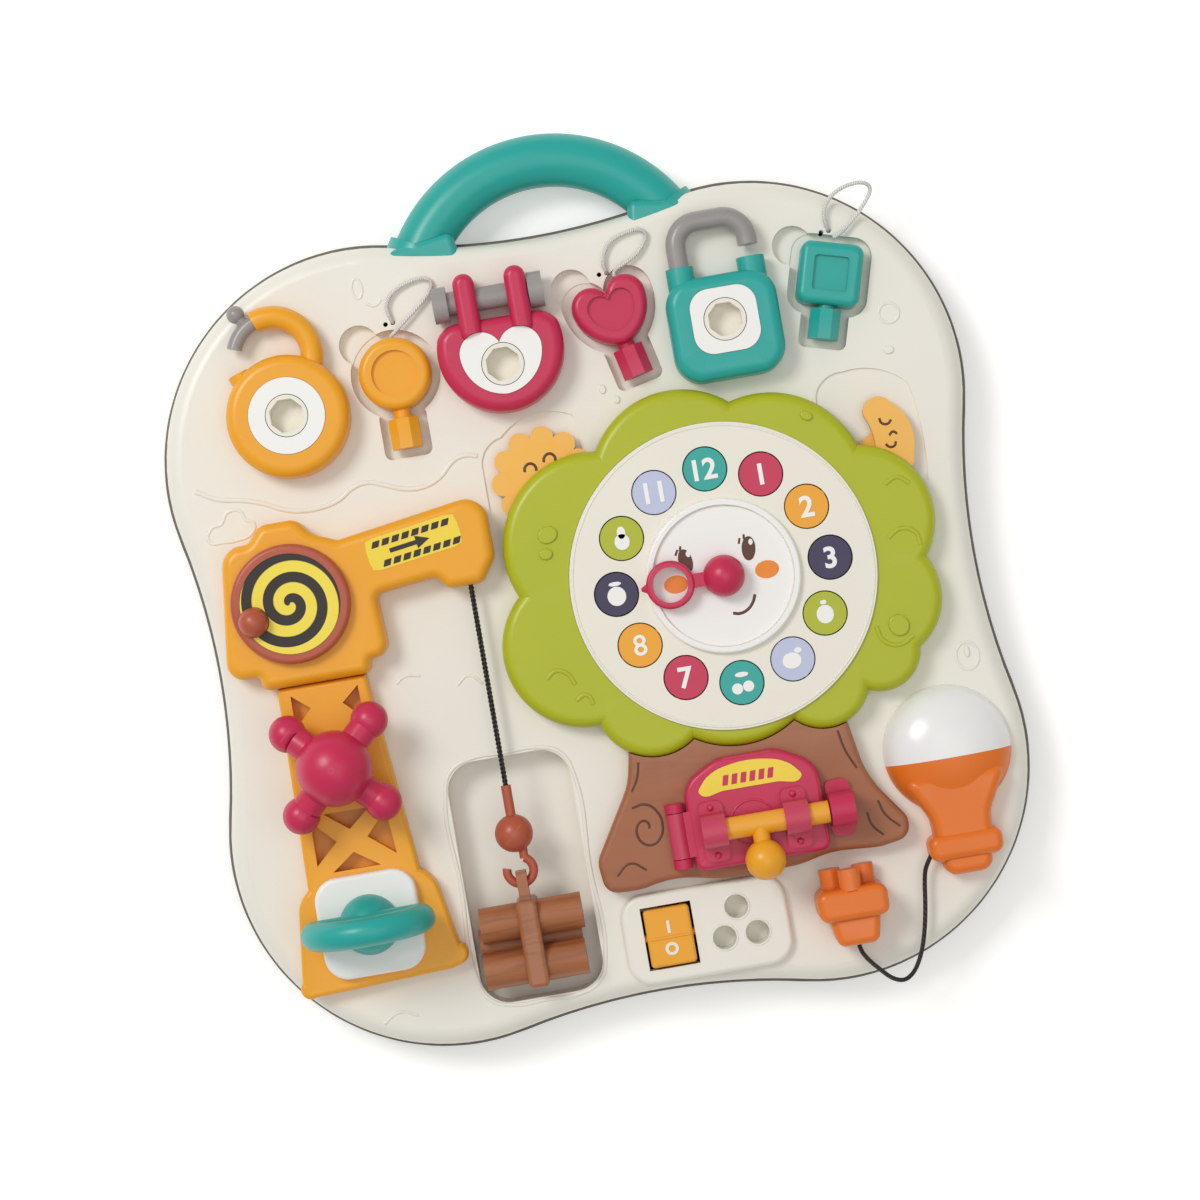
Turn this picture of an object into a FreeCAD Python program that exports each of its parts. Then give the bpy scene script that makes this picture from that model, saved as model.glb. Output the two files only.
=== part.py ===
import FreeCAD, Part

import math
import os
import re
from types import SimpleNamespace

# A toddler's busy board: a waisted tray of two moulded shells with a carry handle. On its face are
# three locks with tethered keys, a crane with a wound string and a load, two turning knobs, a tree
# with a clock dial, a door with a bolt, a bulb, a switch panel and a plug on a cord.
# The origin is the centre of the flat back, +Y runs to the handle and +Z comes out of the face.
V = FreeCAD.Vector
UP = V(0, 0, 1)

sizes = {
    # shells
    "corner_centre": 76.0, "corner_radius": 85.2, "waist_half": 153.0,
    "face_level": 28.0, "split_level": 10.0, "shell_wall": 2.6, "floor_wall": 2.4,
    "rim_softness": 7.0, "back_flange": 0.8, "run_gap": 0.3, "shaft_gap": 0.06, "seat_gap": 0.15,
    "screw_radius": 1.6, "screw_head_radius": 3.2, "screw_head_height": 2.2, "boss_radius": 4.4,
    "screw_length": 14.0,
    # carry handle
    "handle_x": 4.5, "handle_y": 126.2, "handle_bend": 58.3, "handle_grip": 10.75,
    "handle_level": 14.0, "collar_radius": 13.2, "collar_length": 9.0, "foot_half_width": 17.0,
    # battery bay
    "bay_x": 60.0, "bay_y": -18.0, "bay_length": 62.0, "bay_width": 50.0, "bay_depth": 20.0,
    "cell_radius": 7.2, "cell_length": 50.0, "cover_thickness": 2.2, "cover_lip": 4.0,
    # electronics
    "board_length": 66.0, "board_width": 44.0, "board_thickness": 1.6, "board_x": -5.0,
    "board_y": 60.0, "board_level": 12.0, "speaker_x": -114.0, "speaker_y": -72.0,
    "speaker_radius": 18.0, "speaker_height": 9.0, "speaker_hole": 0.9,
    # locks
    "lock_height": 14.0, "lock_softness": 4.5, "plate_recess": 2.0, "plate_proud": 0.3,
    "core_depth": 11.0, "socket_flat": 13.0, "socket_depth": 8.0,
    "round_lock_x": -107.5, "round_lock_y": 98.2, "round_lock_radius": 24.5,
    "round_plate_radius": 15.4, "core_radius": 8.3,
    "hasp_x": -109.5, "hasp_y": 123.0, "hasp_bend": 15.5, "hasp_tube": 4.5, "hasp_level": 34.5,
    "rod_radius": 3.1, "rod_ball_radius": 3.6,
    "heart_lock_x": -19.7, "heart_post_gap": 20.5, "heart_post_width": 8.5, "heart_post_top": 141.5,
    "heart_bar_y": 131.2, "heart_bar_radius": 4.75, "heart_bar_level": 35.5,
    "heart_disc_radius": 7.2, "heart_disc_thickness": 5.8, "heart_bar_travel": 3.0,
    "square_lock_x": 69.9, "square_lock_half": 22.2, "shackle_half": 14.25, "shackle_radius": 4.0,
    "shackle_corner": 9.5, "shackle_top": 147.0, "shackle_level": 34.5, "shackle_tip": 134.5,
    # keys
    "key_pocket_depth": 5.0, "key_pocket_margin": 3.6, "key_bow_height": 12.5, "key_bit_flat": 12.0,
    "key_bit_length": 12.0, "key_stem_radius": 3.4, "notch_radius": 8.0, "notch_depth": 4.5,
    "tether_radius": 0.8, "tether_hole_radius": 0.95,
    # crane
    "crane_height": 14.0, "crane_softness": 4.0, "crane_wall": 2.6, "crank_x": -118.5, "crank_y": 24.5,
    "wheel_radius": 23.7, "wheel_thickness": 5.0, "spiral_radius": 19.9, "spiral_thickness": 1.6,
    "crank_shaft_radius": 4.0, "drum_radius": 8.0, "drum_flange_radius": 12.0, "drum_height": 9.0,
    "crank_knob_radius": 5.9, "crank_knob_offset": 15.9, "crank_knob_height": 13.0,
    "string_x": -47.5, "string_radius": 1.1, "string_level": 36.0, "string_exit_y": 27.0,
    "tower_height": 9.0, "tower_softness": 2.0,
    # load
    "load_level": 36.0, "ferrule_radius": 2.0, "bead_y": -80.3, "bead_radius": 7.6, "hook_wire": 1.8,
    "log_radius": 7.2, "log_half_length": 20.5, "strap_half_width": 4.2, "load_pocket_depth": 13.0,
    # knobs
    "cross_x": -111.5, "cross_y": -42.0, "cross_level": 56.0, "cross_ball": 15.0,
    "cross_arm": 23.0, "cross_arm_radius": 6.0, "cross_tip": 7.4, "cross_drop": 5.0,
    "cross_shaft_radius": 4.5, "ring_x": -109.5, "ring_y": -105.6, "ring_base_half": 20.25,
    "ring_base_height": 5.5, "ring_hub_radius": 12.0, "ring_hub_height": 6.0, "ring_bend": 21.0,
    "ring_tube": 5.7,
    # tree crown and dial
    "crown_height": 12.0, "crown_softness": 4.5, "crown_wall": 2.6, "crown_roof": 6.0,
    "dial_x": 51.8, "dial_y": 6.2, "dial_radius": 61.0, "dial_ledge": 5.0, "dial_thickness": 4.6,
    "dial_proud": 1.1, "disc_circle": 42.9, "disc_hole": 9.0, "disc_ball": 8.7, "disc_thickness": 4.0,
    "disc_pin": 1.0, "disc_pin_reach": 11.5, "dial_boss": 8.0, "face_radius": 30.7,
    "face_thickness": 2.8, "face_rim": 2.6, "face_hollow": 1.6, "pointer_shaft": 3.0,
    "pointer_ball": 8.3, "pointer_ring": 9.6, "pointer_ring_hole": 7.0, "pointer_reach": 21.4,
    "pointer_height": 5.0, "rocker_arm": 1.4, "rocker_plate": 5.0, "rocker_hub": 14.0,
    # trunk and door
    "trunk_height": 10.0, "trunk_softness": 2.5, "door_hinge_x": 16.7, "door_thickness": 6.0,
    "door_left": 21.4, "door_right": 75.5, "door_top": -64.4, "door_bottom": -107.4,
    "hinge_barrel": 3.7, "hinge_pin_radius": 1.5, "niche_depth": 7.0, "bolt_y": -92.0,
    "bolt_radius": 4.4, "bolt_level": 50.8, "bolt_end": 76.4, "bolt_travel": 6.5,
    "bolt_knob_radius": 8.0, "bolt_knob_drop": 14.2, "bolt_stem_radius": 3.4,
    # bulb, panel and plug
    "bulb_x": 128.6, "bulb_y": -77.2, "bulb_radius": 25.7, "bulb_rise": 15.0, "bulb_split": -80.0,
    "panel_height": 4.0, "panel_softness": 2.0, "rocker_x": 6.6, "rocker_y": -131.6,
    "rocker_half_width": 9.2, "rocker_half_length": 11.6, "rocker_window_gap": 1.0, "rocker_axle": 1.5,
    "socket_radius": 4.7, "socket_low_y": -136.0, "socket_pitch": 13.3, "outlet_depth": 10.0,
    "plug_x": 80.0, "plug_prong_radius": 4.3, "plug_level": 33.3, "flex_radius": 0.9,
}
s = SimpleNamespace(**sizes)

doc = FreeCAD.newDocument("busy_board")
sheet = doc.addObject("Spreadsheet::Sheet", "Sizes")
for row, (alias, number) in enumerate(sizes.items(), start=1):
    sheet.set("A%d" % row, alias)
    sheet.set("B%d" % row, str(number))
    sheet.setAlias("B%d" % row, alias)
doc.recompute()

nodes = {}


# Builders that every sub-part shares

def bind(item, target, value):
    if isinstance(value, str):
        def in_sheet(match):
            return "Sizes." + match.group() if match.group() in sizes else match.group()
        item.setExpression(target, re.sub(r"[a-z][a-z_]*", in_sheet, value))
        return
    owner = item
    for name in target.split(".")[:-1]:
        owner = getattr(owner, name)
    if owner is item:
        setattr(item, target, value)
    else:
        item.setExpression(target, repr(round(value, 6)))


def place(item, at, angle=0.0, axis=UP):
    item.Placement = FreeCAD.Placement(V(0, 0, 0), FreeCAD.Rotation(axis, angle))
    for letter, value in zip("xyz", at):
        bind(item, "Placement.Base." + letter, value)
    return item


def solid(kind, name, at=(0, 0, 0), angle=0.0, axis=UP, **lengths):
    item = doc.addObject("Part::" + kind, name)
    for target, value in lengths.items():
        bind(item, target, value)
    return place(item, at, angle, axis)


def loop(start, *steps):
    # a step of two numbers is a straight edge's end, one of four an arc's middle and its end
    edges = []
    here = start
    for step in steps:
        there = step[-2:]
        if len(step) == 4:
            edges.append(Part.Arc(V(*here), V(*step[:2]), V(*there)))
        else:
            edges.append(Part.LineSegment(V(*here), V(*there)))
        here = there
    if math.dist(here, start) > 1e-6:
        edges.append(Part.LineSegment(V(*here), V(*start)))
    return edges


def track(*corners):
    # an outline of straight edges whose corners, of x, y and radius, are rounded by tangent arcs
    points = [V(x, y) for x, y, radius in corners]
    trims = []
    for number, (x, y, radius) in enumerate(corners):
        back = (points[number - 1] - points[number]).normalize()
        ahead = (points[(number + 1) % len(points)] - points[number]).normalize()
        half_turn = (math.pi - back.getAngle(ahead)) / 2
        trim = radius * math.tan(half_turn)
        middle = points[number] + (back + ahead).normalize() * (radius / math.cos(half_turn) - radius)
        trims.append((points[number] + back * trim, middle, points[number] + ahead * trim))
    edges = []
    for number, (start, middle, end) in enumerate(trims):
        edges.append(Part.LineSegment(trims[number - 1][2], start))
        edges.append(Part.Arc(start, middle, end))
    return edges


def circle(x, y, radius):
    return [Part.Circle(V(x, y), UP, radius)]


def rounded(left, low, right, high, radius):
    k = radius * (1 - math.sqrt(0.5))
    return loop((left + radius, low), (right - radius, low),
                (right - k, low + k, right, low + radius), (right, high - radius),
                (right - k, high - k, right - radius, high), (left + radius, high),
                (left + k, high - k, left, high - radius), (left, low + radius),
                (left + k, low + k, left + radius, low))


def sketch_on(body, name, role, loops):
    sketch = body.newObject("Sketcher::SketchObject", name)
    plane = next(f for f in body.Origin.OriginFeatures if f.Role == role)
    sketch.AttachmentSupport = [(plane, "")]
    sketch.MapMode = "FlatFace"
    for edges in loops:
        for edge in edges:
            sketch.addGeometry(edge, False)
    return sketch


def soften(body, feature, name, radius, level=None):
    # rounds the outer edges of the face at that level, which is the top one if none is given
    shape = feature.Shape
    level = shape.BoundBox.ZMax if level is None else level
    flat = [f for f in shape.Faces if abs(f.BoundBox.ZMin - level) + abs(f.BoundBox.ZMax - level) < 1e-4]
    names = []
    for face in flat:
        for wanted in face.OuterWire.Edges:
            for number, edge in enumerate(shape.Edges, start=1):
                if edge.isSame(wanted):
                    names.append("Edge%d" % number)
    fillet = body.newObject("PartDesign::Fillet", name)
    fillet.Base = (feature, names)
    bind(fillet, "Radius", radius)
    doc.recompute()
    return fillet


def pad(name, loops, base, height, softness=None, at=(0, 0), angle=0.0):
    body = doc.addObject("PartDesign::Body", name)
    sketch = sketch_on(body, name + "_outline", "XY_Plane", loops)
    bind(sketch, "AttachmentOffset.Base.z", base)
    feature = body.newObject("PartDesign::Pad", name + "_pad")
    feature.Profile = sketch
    bind(feature, "Length", height)
    doc.recompute()
    if softness:
        soften(body, feature, name + "_softened", softness)
    place(body, (at[0], at[1], 0), angle)
    doc.recompute()
    return body


def along_x(name, left, right, y, level, radius):
    return solid("Cylinder", name, (left, y, level), 90, V(0, 1, 0), Radius=radius,
                 Height="%s - (%s)" % (right, left))


def along_y(name, x, low, high, level, radius):
    return solid("Cylinder", name, (x, low, level), -90, V(1, 0, 0), Radius=radius, Height=high - low)


def fuse(name, *items):
    item = doc.addObject("Part::MultiFuse", name)
    item.Shapes = list(items)
    return item


def cut(name, base, *tools):
    item = doc.addObject("Part::Cut", name)
    item.Base = base
    item.Tool = tools[0] if len(tools) == 1 else fuse(name + "_tools", *tools)
    return item


def common(name, base, tool):
    item = doc.addObject("Part::Common", name)
    item.Base = base
    item.Tool = tool
    return item


def group(name, *items):
    item = doc.addObject("Part::Compound", name)
    item.Links = list(items)
    return item


def keep(node, item):
    item.Label = node
    nodes[node] = item
    return item


def tube(name, points, radius, closed_ends=True):
    # straight runs joined by tangent arcs, each as large as its two runs allow
    corners = [V(*p) for p in points]
    path = []
    here = corners[0]
    for before, corner, after in zip(corners, corners[1:], corners[2:]):
        back = before - corner
        ahead = after - corner
        half_turn = (math.pi - back.getAngle(ahead)) / 2
        trim = 0.45 * min(back.Length, ahead.Length)
        bend = trim / math.tan(half_turn)
        print("%s bend radius %.1f mm" % (name, bend))
        start = corner + back.normalize() * trim
        end = corner + ahead.normalize() * trim
        middle = (back + ahead).normalize() * (bend / math.cos(half_turn) - bend)
        path.append(Part.LineSegment(here, start).toShape())
        path.append(Part.Arc(start, corner + middle, end).toShape())
        here = end
    path.append(Part.LineSegment(here, corners[-1]).toShape())
    spine = Part.Wire(path)
    section = Part.Wire([Part.Circle(corners[0], corners[1] - corners[0], radius).toShape()])
    item = doc.addObject("Part::Feature", name)
    item.Shape = spine.makePipeShell([section], closed_ends, False)
    print("%s volume over section times length %.4f" % (
        name, item.Shape.Volume / (math.pi * radius ** 2 * spine.Length)))
    return item


# Shared outlines and places

def board_outline(grow=0.0):
    # four corner arcs joined by four hollow sides, tangent to each other
    c = s.corner_centre
    r = s.corner_radius + grow
    w = s.waist_half + grow
    side = (c * c + (w - c) ** 2 - r * r) / (2 * (r - w + c))
    near = c - r * c / (side + r)
    far = c + r * (w + side - c) / (side + r)
    out = c + r * math.sqrt(0.5)
    return loop((near, far), (out, out, far, near), (w, 0, far, -near), (out, -out, near, -far),
                (0, -w, -near, -far), (-out, -out, -far, -near), (-w, 0, -far, near),
                (-out, out, -near, far), (0, w, near, far))


def polar(centre, reach, degrees):
    turn = math.radians(degrees)
    return centre[0] + reach * math.cos(turn), centre[1] + reach * math.sin(turn)


def crown_outline():
    lobes = [(10.3, 63.7), (38, 82.3), (66, 74), (97, 69.5), (113.5, 48.3), (139, 22), (133, 0),
             (136.3, -17), (124.4, -35), (116, -48), (101.3, -48.5), (87, -60.2), (69.9, -54.9),
             (50, -61.3), (29.5, -55.5), (11, -59.7), (-6.4, -44.2), (-39.2, -18), (-29.5, 11.8),
             (-27, 47)]
    steps = [(*lobes[i], *lobes[(i + 1) % len(lobes)]) for i in range(1, len(lobes), 2)]
    return loop(lobes[0], *steps)


def heart(x, y, half, top, bottom):
    # two lobes over a point, about a centre
    return loop((x, y + 0.62 * top), (x + 0.5 * half, y + top, x + 0.97 * half, y + 0.4 * top),
                (x + 0.72 * half, y - 0.5 * bottom, x, y - bottom),
                (x - 0.72 * half, y - 0.5 * bottom, x - 0.97 * half, y + 0.4 * top),
                (x - 0.5 * half, y + top, x, y + 0.62 * top))


def grown(edges, distance):
    # the same outline a steady distance further out
    wire = Part.Wire([edge.toShape() for edge in edges])
    bigger = wire.makeOffset2D(distance)
    result = []
    for edge in bigger.OrderedEdges:
        ends = [edge.valueAt(edge.FirstParameter), edge.valueAt(edge.LastParameter)]
        middle = edge.valueAt((edge.FirstParameter + edge.LastParameter) / 2)
        if isinstance(edge.Curve, Part.Line):
            result.append(Part.LineSegment(*ends))
        elif (ends[0] - ends[1]).Length < 1e-6:
            result.append(Part.Circle(edge.Curve.Center, UP, edge.Curve.Radius))
        else:
            result.append(Part.Arc(ends[0], middle, ends[1]))
    return result


load_pocket = rounded(-71.2, -147.4, -21.4, -49.7, 12.0)
panel = rounded(-12, -150, 55, -113.7, 10.0)
sun_pocket = loop((-35.3, 36), (-35.3, 64), (-33, 72, -26, 76), (-12, 83, 4, 80), (6, 60), (-10, 36))
moon_pocket = loop((100, 60), (101, 71), (106, 77, 113, 78.5), (130, 76, 138.5, 69.5),
                   (140, 60, 139.7, 30), (118, 30))
sockets = [(s.rocker_x + 28.1, s.socket_low_y + s.socket_pitch * math.sqrt(0.75)),
           (s.rocker_x + 28.1 - s.socket_pitch / 2, s.socket_low_y),
           (s.rocker_x + 28.1 + s.socket_pitch / 2, s.socket_low_y)]
screws = [(-130, -105), (-130, 60), (130, 105), (130, -92), (0, 140), (0, -118), (-60, 30), (66, 146)]
speaker_holes = [(-113.4, -64.7), (-123, -66), (-119.4, -70), (-111, -71.5), (-119.6, -77), (-113, -80),
                 (-106.5, -76), (-105, -67.5)]
keys = {
    "round_key": {"at": (-63.0, 108.0), "angle": 0.0, "notch": (-75.5, 122.0)},
    "heart_key": {"at": (26.8, 117.4), "angle": 12.8, "notch": (11.9, 129.5)},
    "square_key": {"at": (114.7, 117.4), "angle": -16.0, "notch": (102.0, 131.6)},
}
tether_holes = [(-63.6, 128.4), (-60.6, 128.6), (24.0, 133.4), (27.0, 133.6), (114.4, 134.8), (117.4, 135.0)]


def key_outline(kind, grow=0.0):
    # bow over a stem over a square bit, about the bow's centre, with the key upright
    bit_low = {"round_key": -30.0, "heart_key": -27.2, "square_key": -26.0}[kind]
    half = s.key_bit_flat / 2 + grow
    top = bit_low + s.key_bit_length
    if kind == "square_key":
        bow = rounded(-12.5 - grow, -12.5 - grow, 12.5 + grow, 12.5 + grow, 4.0 + grow)
    elif kind == "heart_key":
        bow = heart(0, 0, 15.7 + grow, 12.6 + grow, 13.6 + 1.2 * grow)
    else:
        bow = circle(0, 0, 14.4 + grow)
    stem = rounded(-s.key_stem_radius - grow, top - 1, s.key_stem_radius + grow, -8, 0.5)
    bit = rounded(-half, bit_low - grow, half, top + grow, 1.2 + 0.5 * grow)
    return bow, stem, bit


# Front shell: skirt, face, wells for keys and load, switch panel and sockets

def make_front_shell():
    block = pad("front_block", [board_outline()], "split_level", "face_level - split_level", "rim_softness")
    hollow = pad("front_hollow", [board_outline(-s.shell_wall)], "split_level - 1",
                 "face_level - split_level + 1 - shell_wall", "rim_softness - shell_wall")
    adds = [cut("front_skin", block, hollow)]
    cuts = []
    well = "load_pocket_depth + floor_wall"
    adds.append(pad("load_well", [grown(load_pocket, s.floor_wall)], "face_level - " + well.replace("+", "-"),
                    well + " - 1"))
    cuts.append(pad("load_hollow", [load_pocket], "face_level - load_pocket_depth", "load_pocket_depth + 1"))
    adds.append(pad("panel_rise", [panel], "face_level - 1", "panel_height + 1", "panel_softness"))
    for kind, key in keys.items():
        for number, edges in enumerate(key_outline(kind, s.key_pocket_margin + s.floor_wall)):
            adds.append(pad("%s_well_%d" % (kind, number), [edges],
                            "face_level - key_pocket_depth - floor_wall", "key_pocket_depth + floor_wall - 1",
                            None, key["at"], key["angle"]))
        for number, edges in enumerate(key_outline(kind, s.key_pocket_margin)):
            cuts.append(pad("%s_pocket_%d" % (kind, number), [edges], "face_level - key_pocket_depth",
                            "key_pocket_depth + 1", None, key["at"], key["angle"]))
        adds.append(solid("Cylinder", kind + "_notch_well", (*key["notch"], "face_level - notch_depth - floor_wall"),
                          Radius="notch_radius + floor_wall", Height="notch_depth + floor_wall - 1"))
        cuts.append(solid("Cylinder", kind + "_notch", (*key["notch"], "face_level - notch_depth"),
                          Radius="notch_radius", Height="notch_depth + 1"))
    for number, (x, y) in enumerate(tether_holes):
        cuts.append(solid("Cylinder", "tether_hole_%d" % number, (x, y, "face_level - 15"),
                          Radius="tether_hole_radius", Height=20))
    for number, (x, y) in enumerate(sockets):
        adds.append(solid("Cylinder", "outlet_wall_%d" % number, (x, y, "face_level - outlet_depth"),
                          Radius="socket_radius + 1.8", Height="outlet_depth - 1"))
        cuts.append(solid("Cylinder", "outlet_%d" % number,
                          (x, y, "face_level + panel_height - outlet_depth"),
                          Radius="socket_radius", Height="outlet_depth + 1"))
    for number, (x, y) in enumerate(speaker_holes):
        cuts.append(solid("Cylinder", "sound_hole_%d" % number, (x, y, "face_level - 4"),
                          Radius="speaker_hole", Height=8))
    for number, (x, y) in enumerate(screws):
        adds.append(solid("Cylinder", "screw_boss_%d" % number, (x, y, "split_level"),
                          Radius="boss_radius", Height="face_level - split_level - 1"))
        cuts.append(solid("Cylinder", "screw_pilot_%d" % number, (x, y, "split_level - 1"),
                          Radius="screw_radius + shaft_gap",
                          Height="screw_length - floor_wall - screw_head_height + 1.5"))
    window = solid("Box", "switch_window",
                   ("rocker_x - rocker_half_width - rocker_window_gap",
                    "rocker_y - rocker_half_length - rocker_window_gap", "face_level - 6"),
                   Length="2 * (rocker_half_width + rocker_window_gap)",
                   Width="2 * (rocker_half_length + rocker_window_gap)", Height=20)
    cuts.append(window)
    cuts.append(along_x("rocker_axle_bore", "rocker_x - rocker_half_width - rocker_window_gap - 2.4",
                        "rocker_x + rocker_half_width + rocker_window_gap + 2.4", "rocker_y",
                        "face_level + 1", "rocker_axle + shaft_gap"))
    cuts.append(solid("Cylinder", "bulb_light_hole", ("bulb_x", "bulb_y", "face_level - 6"), Radius=9, Height=8))
    cuts.append(pad("sun_recess", [sun_pocket], "face_level - 1", 3))
    cuts.append(pad("moon_recess", [moon_pocket], "face_level - 1", 3))
    return keep("front_shell", cut("front_shell_part", fuse("front_shell_solid", *adds), *cuts))


# Back shell: tray, battery bay and screw wells

def make_back_shell():
    block = pad("back_block", [board_outline(s.back_flange)], 0, "split_level", None)
    hollow = pad("back_hollow", [board_outline(-s.shell_wall)], "floor_wall", "split_level")
    adds = [cut("back_skin", block, hollow)]
    bay = ("bay_x - bay_length / 2", "bay_y - bay_width / 2")
    adds.append(solid("Box", "bay_wall", (*bay, 0), Length="bay_length", Width="bay_width", Height="bay_depth"))
    cuts = [solid("Box", "bay_hollow", ("bay_x - bay_length / 2 + floor_wall", "bay_y - bay_width / 2 + floor_wall", -1),
                  Length="bay_length - 2 * floor_wall", Width="bay_width - 2 * floor_wall",
                  Height="bay_depth - floor_wall + 1")]
    cuts.append(solid("Box", "cover_seat", ("bay_x - bay_length / 2 - cover_lip", "bay_y - bay_width / 2 - cover_lip", -1),
                      Length="bay_length + 2 * cover_lip", Width="bay_width + 2 * cover_lip",
                      Height="cover_thickness + 1"))
    adds.append(solid("Box", "cover_ledge",
                      ("bay_x - bay_length / 2 - cover_lip - floor_wall",
                       "bay_y - bay_width / 2 - cover_lip - floor_wall", 0),
                      Length="bay_length + 2 * (cover_lip + floor_wall)",
                      Width="bay_width + 2 * (cover_lip + floor_wall)", Height="cover_thickness + floor_wall"))
    for number, (x, y) in enumerate(screws):
        adds.append(solid("Cylinder", "screw_well_wall_%d" % number, (x, y, 0),
                          Radius="screw_head_radius + 1.6", Height="split_level"))
        cuts.append(solid("Cylinder", "screw_well_%d" % number, (x, y, -1),
                          Radius="screw_head_radius + 0.3", Height="split_level - floor_wall + 1"))
        cuts.append(solid("Cylinder", "screw_way_%d" % number, (x, y, 0),
                          Radius="screw_radius + shaft_gap", Height="split_level + 1"))
    return keep("back_shell", cut("back_shell_part", fuse("back_shell_solid", *adds), *cuts))


def make_case_screws():
    each = []
    for number, (x, y) in enumerate(screws):
        head_level = "split_level - floor_wall - screw_head_height"
        each.append(fuse("screw_%d" % number,
                         solid("Cylinder", "screw_head_%d" % number, (x, y, head_level),
                               Radius="screw_head_radius", Height="screw_head_height"),
                         solid("Cylinder", "screw_shank_%d" % number, (x, y, head_level),
                               Radius="screw_radius", Height="screw_length")))
    return keep("case_screws", group("screws", *each))


def make_battery_cover():
    lip = "cover_lip - seat_gap"
    plate = solid("Box", "cover_plate", ("bay_x - bay_length / 2 - " + lip.replace("-", "+"),
                                         "bay_y - bay_width / 2 - " + lip.replace("-", "+"), 0),
                  Length="bay_length + 2 * (%s)" % lip, Width="bay_width + 2 * (%s)" % lip,
                  Height="cover_thickness")
    pull = solid("Cylinder", "cover_thumb_notch", ("bay_x", "bay_y + bay_width / 2", -0.7), Radius=8, Height=1.6)
    return keep("battery_cover", cut("cover", plate, pull))


def make_batteries():
    each = []
    for number in range(3):
        y = "bay_y + %d * (2 * cell_radius + 0.4)" % (number - 1)
        level = "cover_thickness + cell_radius + seat_gap"
        way = 1 if number % 2 else -1
        body = solid("Cylinder", "cell_%d" % number, ("bay_x - %d * cell_length / 2" % way, y, level),
                     90 * way, V(0, 1, 0), Radius="cell_radius", Height="cell_length")
        tip = solid("Cylinder", "cell_tip_%d" % number, ("bay_x + %d * (cell_length / 2 - 1)" % way, y, level),
                    90 * way, V(0, 1, 0), Radius=2.7, Height=2.4)
        each.append(fuse("battery_%d" % number, body, tip))
    return keep("batteries", group("battery_set", *each))


def make_circuit_board():
    corner = ("board_x - board_length / 2", "board_y - board_width / 2")
    plate = solid("Box", "board_plate", (*corner, "board_level"), Length="board_length",
                  Width="board_width", Height="board_thickness")
    chip = solid("Box", "board_chip", ("board_x - 6", "board_y - 5", "board_level + board_thickness"),
                 Length=12, Width=9, Height=2)
    posts = [solid("Cylinder", "board_post_%d%d" % (i, j),
                   ("board_x + %d * (board_length / 2 - 5)" % i, "board_y + %d * (board_width / 2 - 5)" % j,
                    "floor_wall"), Radius=3, Height="board_level - floor_wall")
             for i in (-1, 1) for j in (-1, 1)]
    return keep("circuit_board", fuse("board_assembly", plate, chip, *posts))


def make_speaker():
    top = "face_level - shell_wall - "
    can = solid("Cylinder", "speaker_can", ("speaker_x", "speaker_y", top + "speaker_height"),
                Radius="speaker_radius", Height="speaker_height")
    cone = solid("Cone", "speaker_cone", ("speaker_x", "speaker_y", top + "5"),
                 Radius1="speaker_radius / 3", Radius2="speaker_radius - 2", Height=5)
    magnet = solid("Cylinder", "speaker_magnet", ("speaker_x", "speaker_y", top + "speaker_height - 3"),
                   Radius="speaker_radius * 0.55", Height=3)
    return keep("speaker", fuse("speaker_body", cut("speaker_bowl", can, cone), magnet))


# Carry handle: a bent grip with a stepped collar and a foot at each end, seated on the shells' rim

def make_carry_handle():
    centre = (s.handle_x, s.handle_y)
    grip = solid("Torus", "grip", ("handle_x", "handle_y", "handle_level"), 27,
                 Radius1="handle_bend", Radius2="handle_grip", Angle3=126)
    pieces = [grip]
    for side in (-1, 1):
        lean = side * 58.0
        x, y = polar(centre, s.handle_bend, 90 - lean)
        turn = FreeCAD.Rotation(UP, -lean)
        ring = doc.addObject("Part::Cylinder", "collar")
        bind(ring, "Radius", "collar_radius")
        bind(ring, "Height", "collar_length + 5")
        along = turn.multVec(V(side, 0, 0))
        ring.Placement = FreeCAD.Placement(V(x, y, s.handle_level), FreeCAD.Rotation(V(0, 0, 1), along))
        pieces.append(ring)
        foot = pad("handle_foot", [rounded(-s.foot_half_width, -16, s.foot_half_width, 1.5, 3.0)],
                   "handle_level - collar_radius", "2 * collar_radius", 3.0, (x + side * 3.0, y), -side * 8.0)
        pieces.append(foot)
    envelope = pad("rim_envelope", [board_outline(s.back_flange)], -1, "split_level + 1")
    upper = pad("rim_envelope_upper", [board_outline()], "split_level", "face_level - split_level", "rim_softness")
    return keep("carry_handle", cut("handle", fuse("handle_solid", *pieces), fuse("rim_solid", envelope, upper)))


# Locks: a body screwed to the face, a printed plate, a turning core and a bolt that travels

def core_bore(name, x, y):
    return solid("Cylinder", name, (x, y, "face_level + lock_height - core_depth - run_gap"),
                 Radius="core_radius + run_gap", Height="core_depth + 5")


def make_core(node, x, y):
    level = "face_level + lock_height - core_depth"
    barrel = solid("Cylinder", node + "_barrel", (x, y, level), Radius="core_radius",
                   Height="core_depth + plate_proud")
    keyway = solid("Prism", node + "_keyway", (x, y, "face_level + lock_height - socket_depth"), 22.5,
                   Circumradius="socket_flat / 2 / cos(22.5 deg)", Height="socket_depth + 5", Polygon=8)
    return keep(node, cut(node + "_part", barrel, keyway))


def hasp_arc(name, radius, start, sweep):
    return solid("Torus", name, ("hasp_x", "hasp_y", "hasp_level"), start,
                 Radius1="hasp_bend", Radius2=radius, Angle3=sweep)


HASP_START, HASP_END = -19.0, 111.0
ROD_START, ROD_TIP, ROD_KNOB = 60.0, 161.0, 122.5
CATCH_START, CATCH_END = 198.0, 224.0


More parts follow.
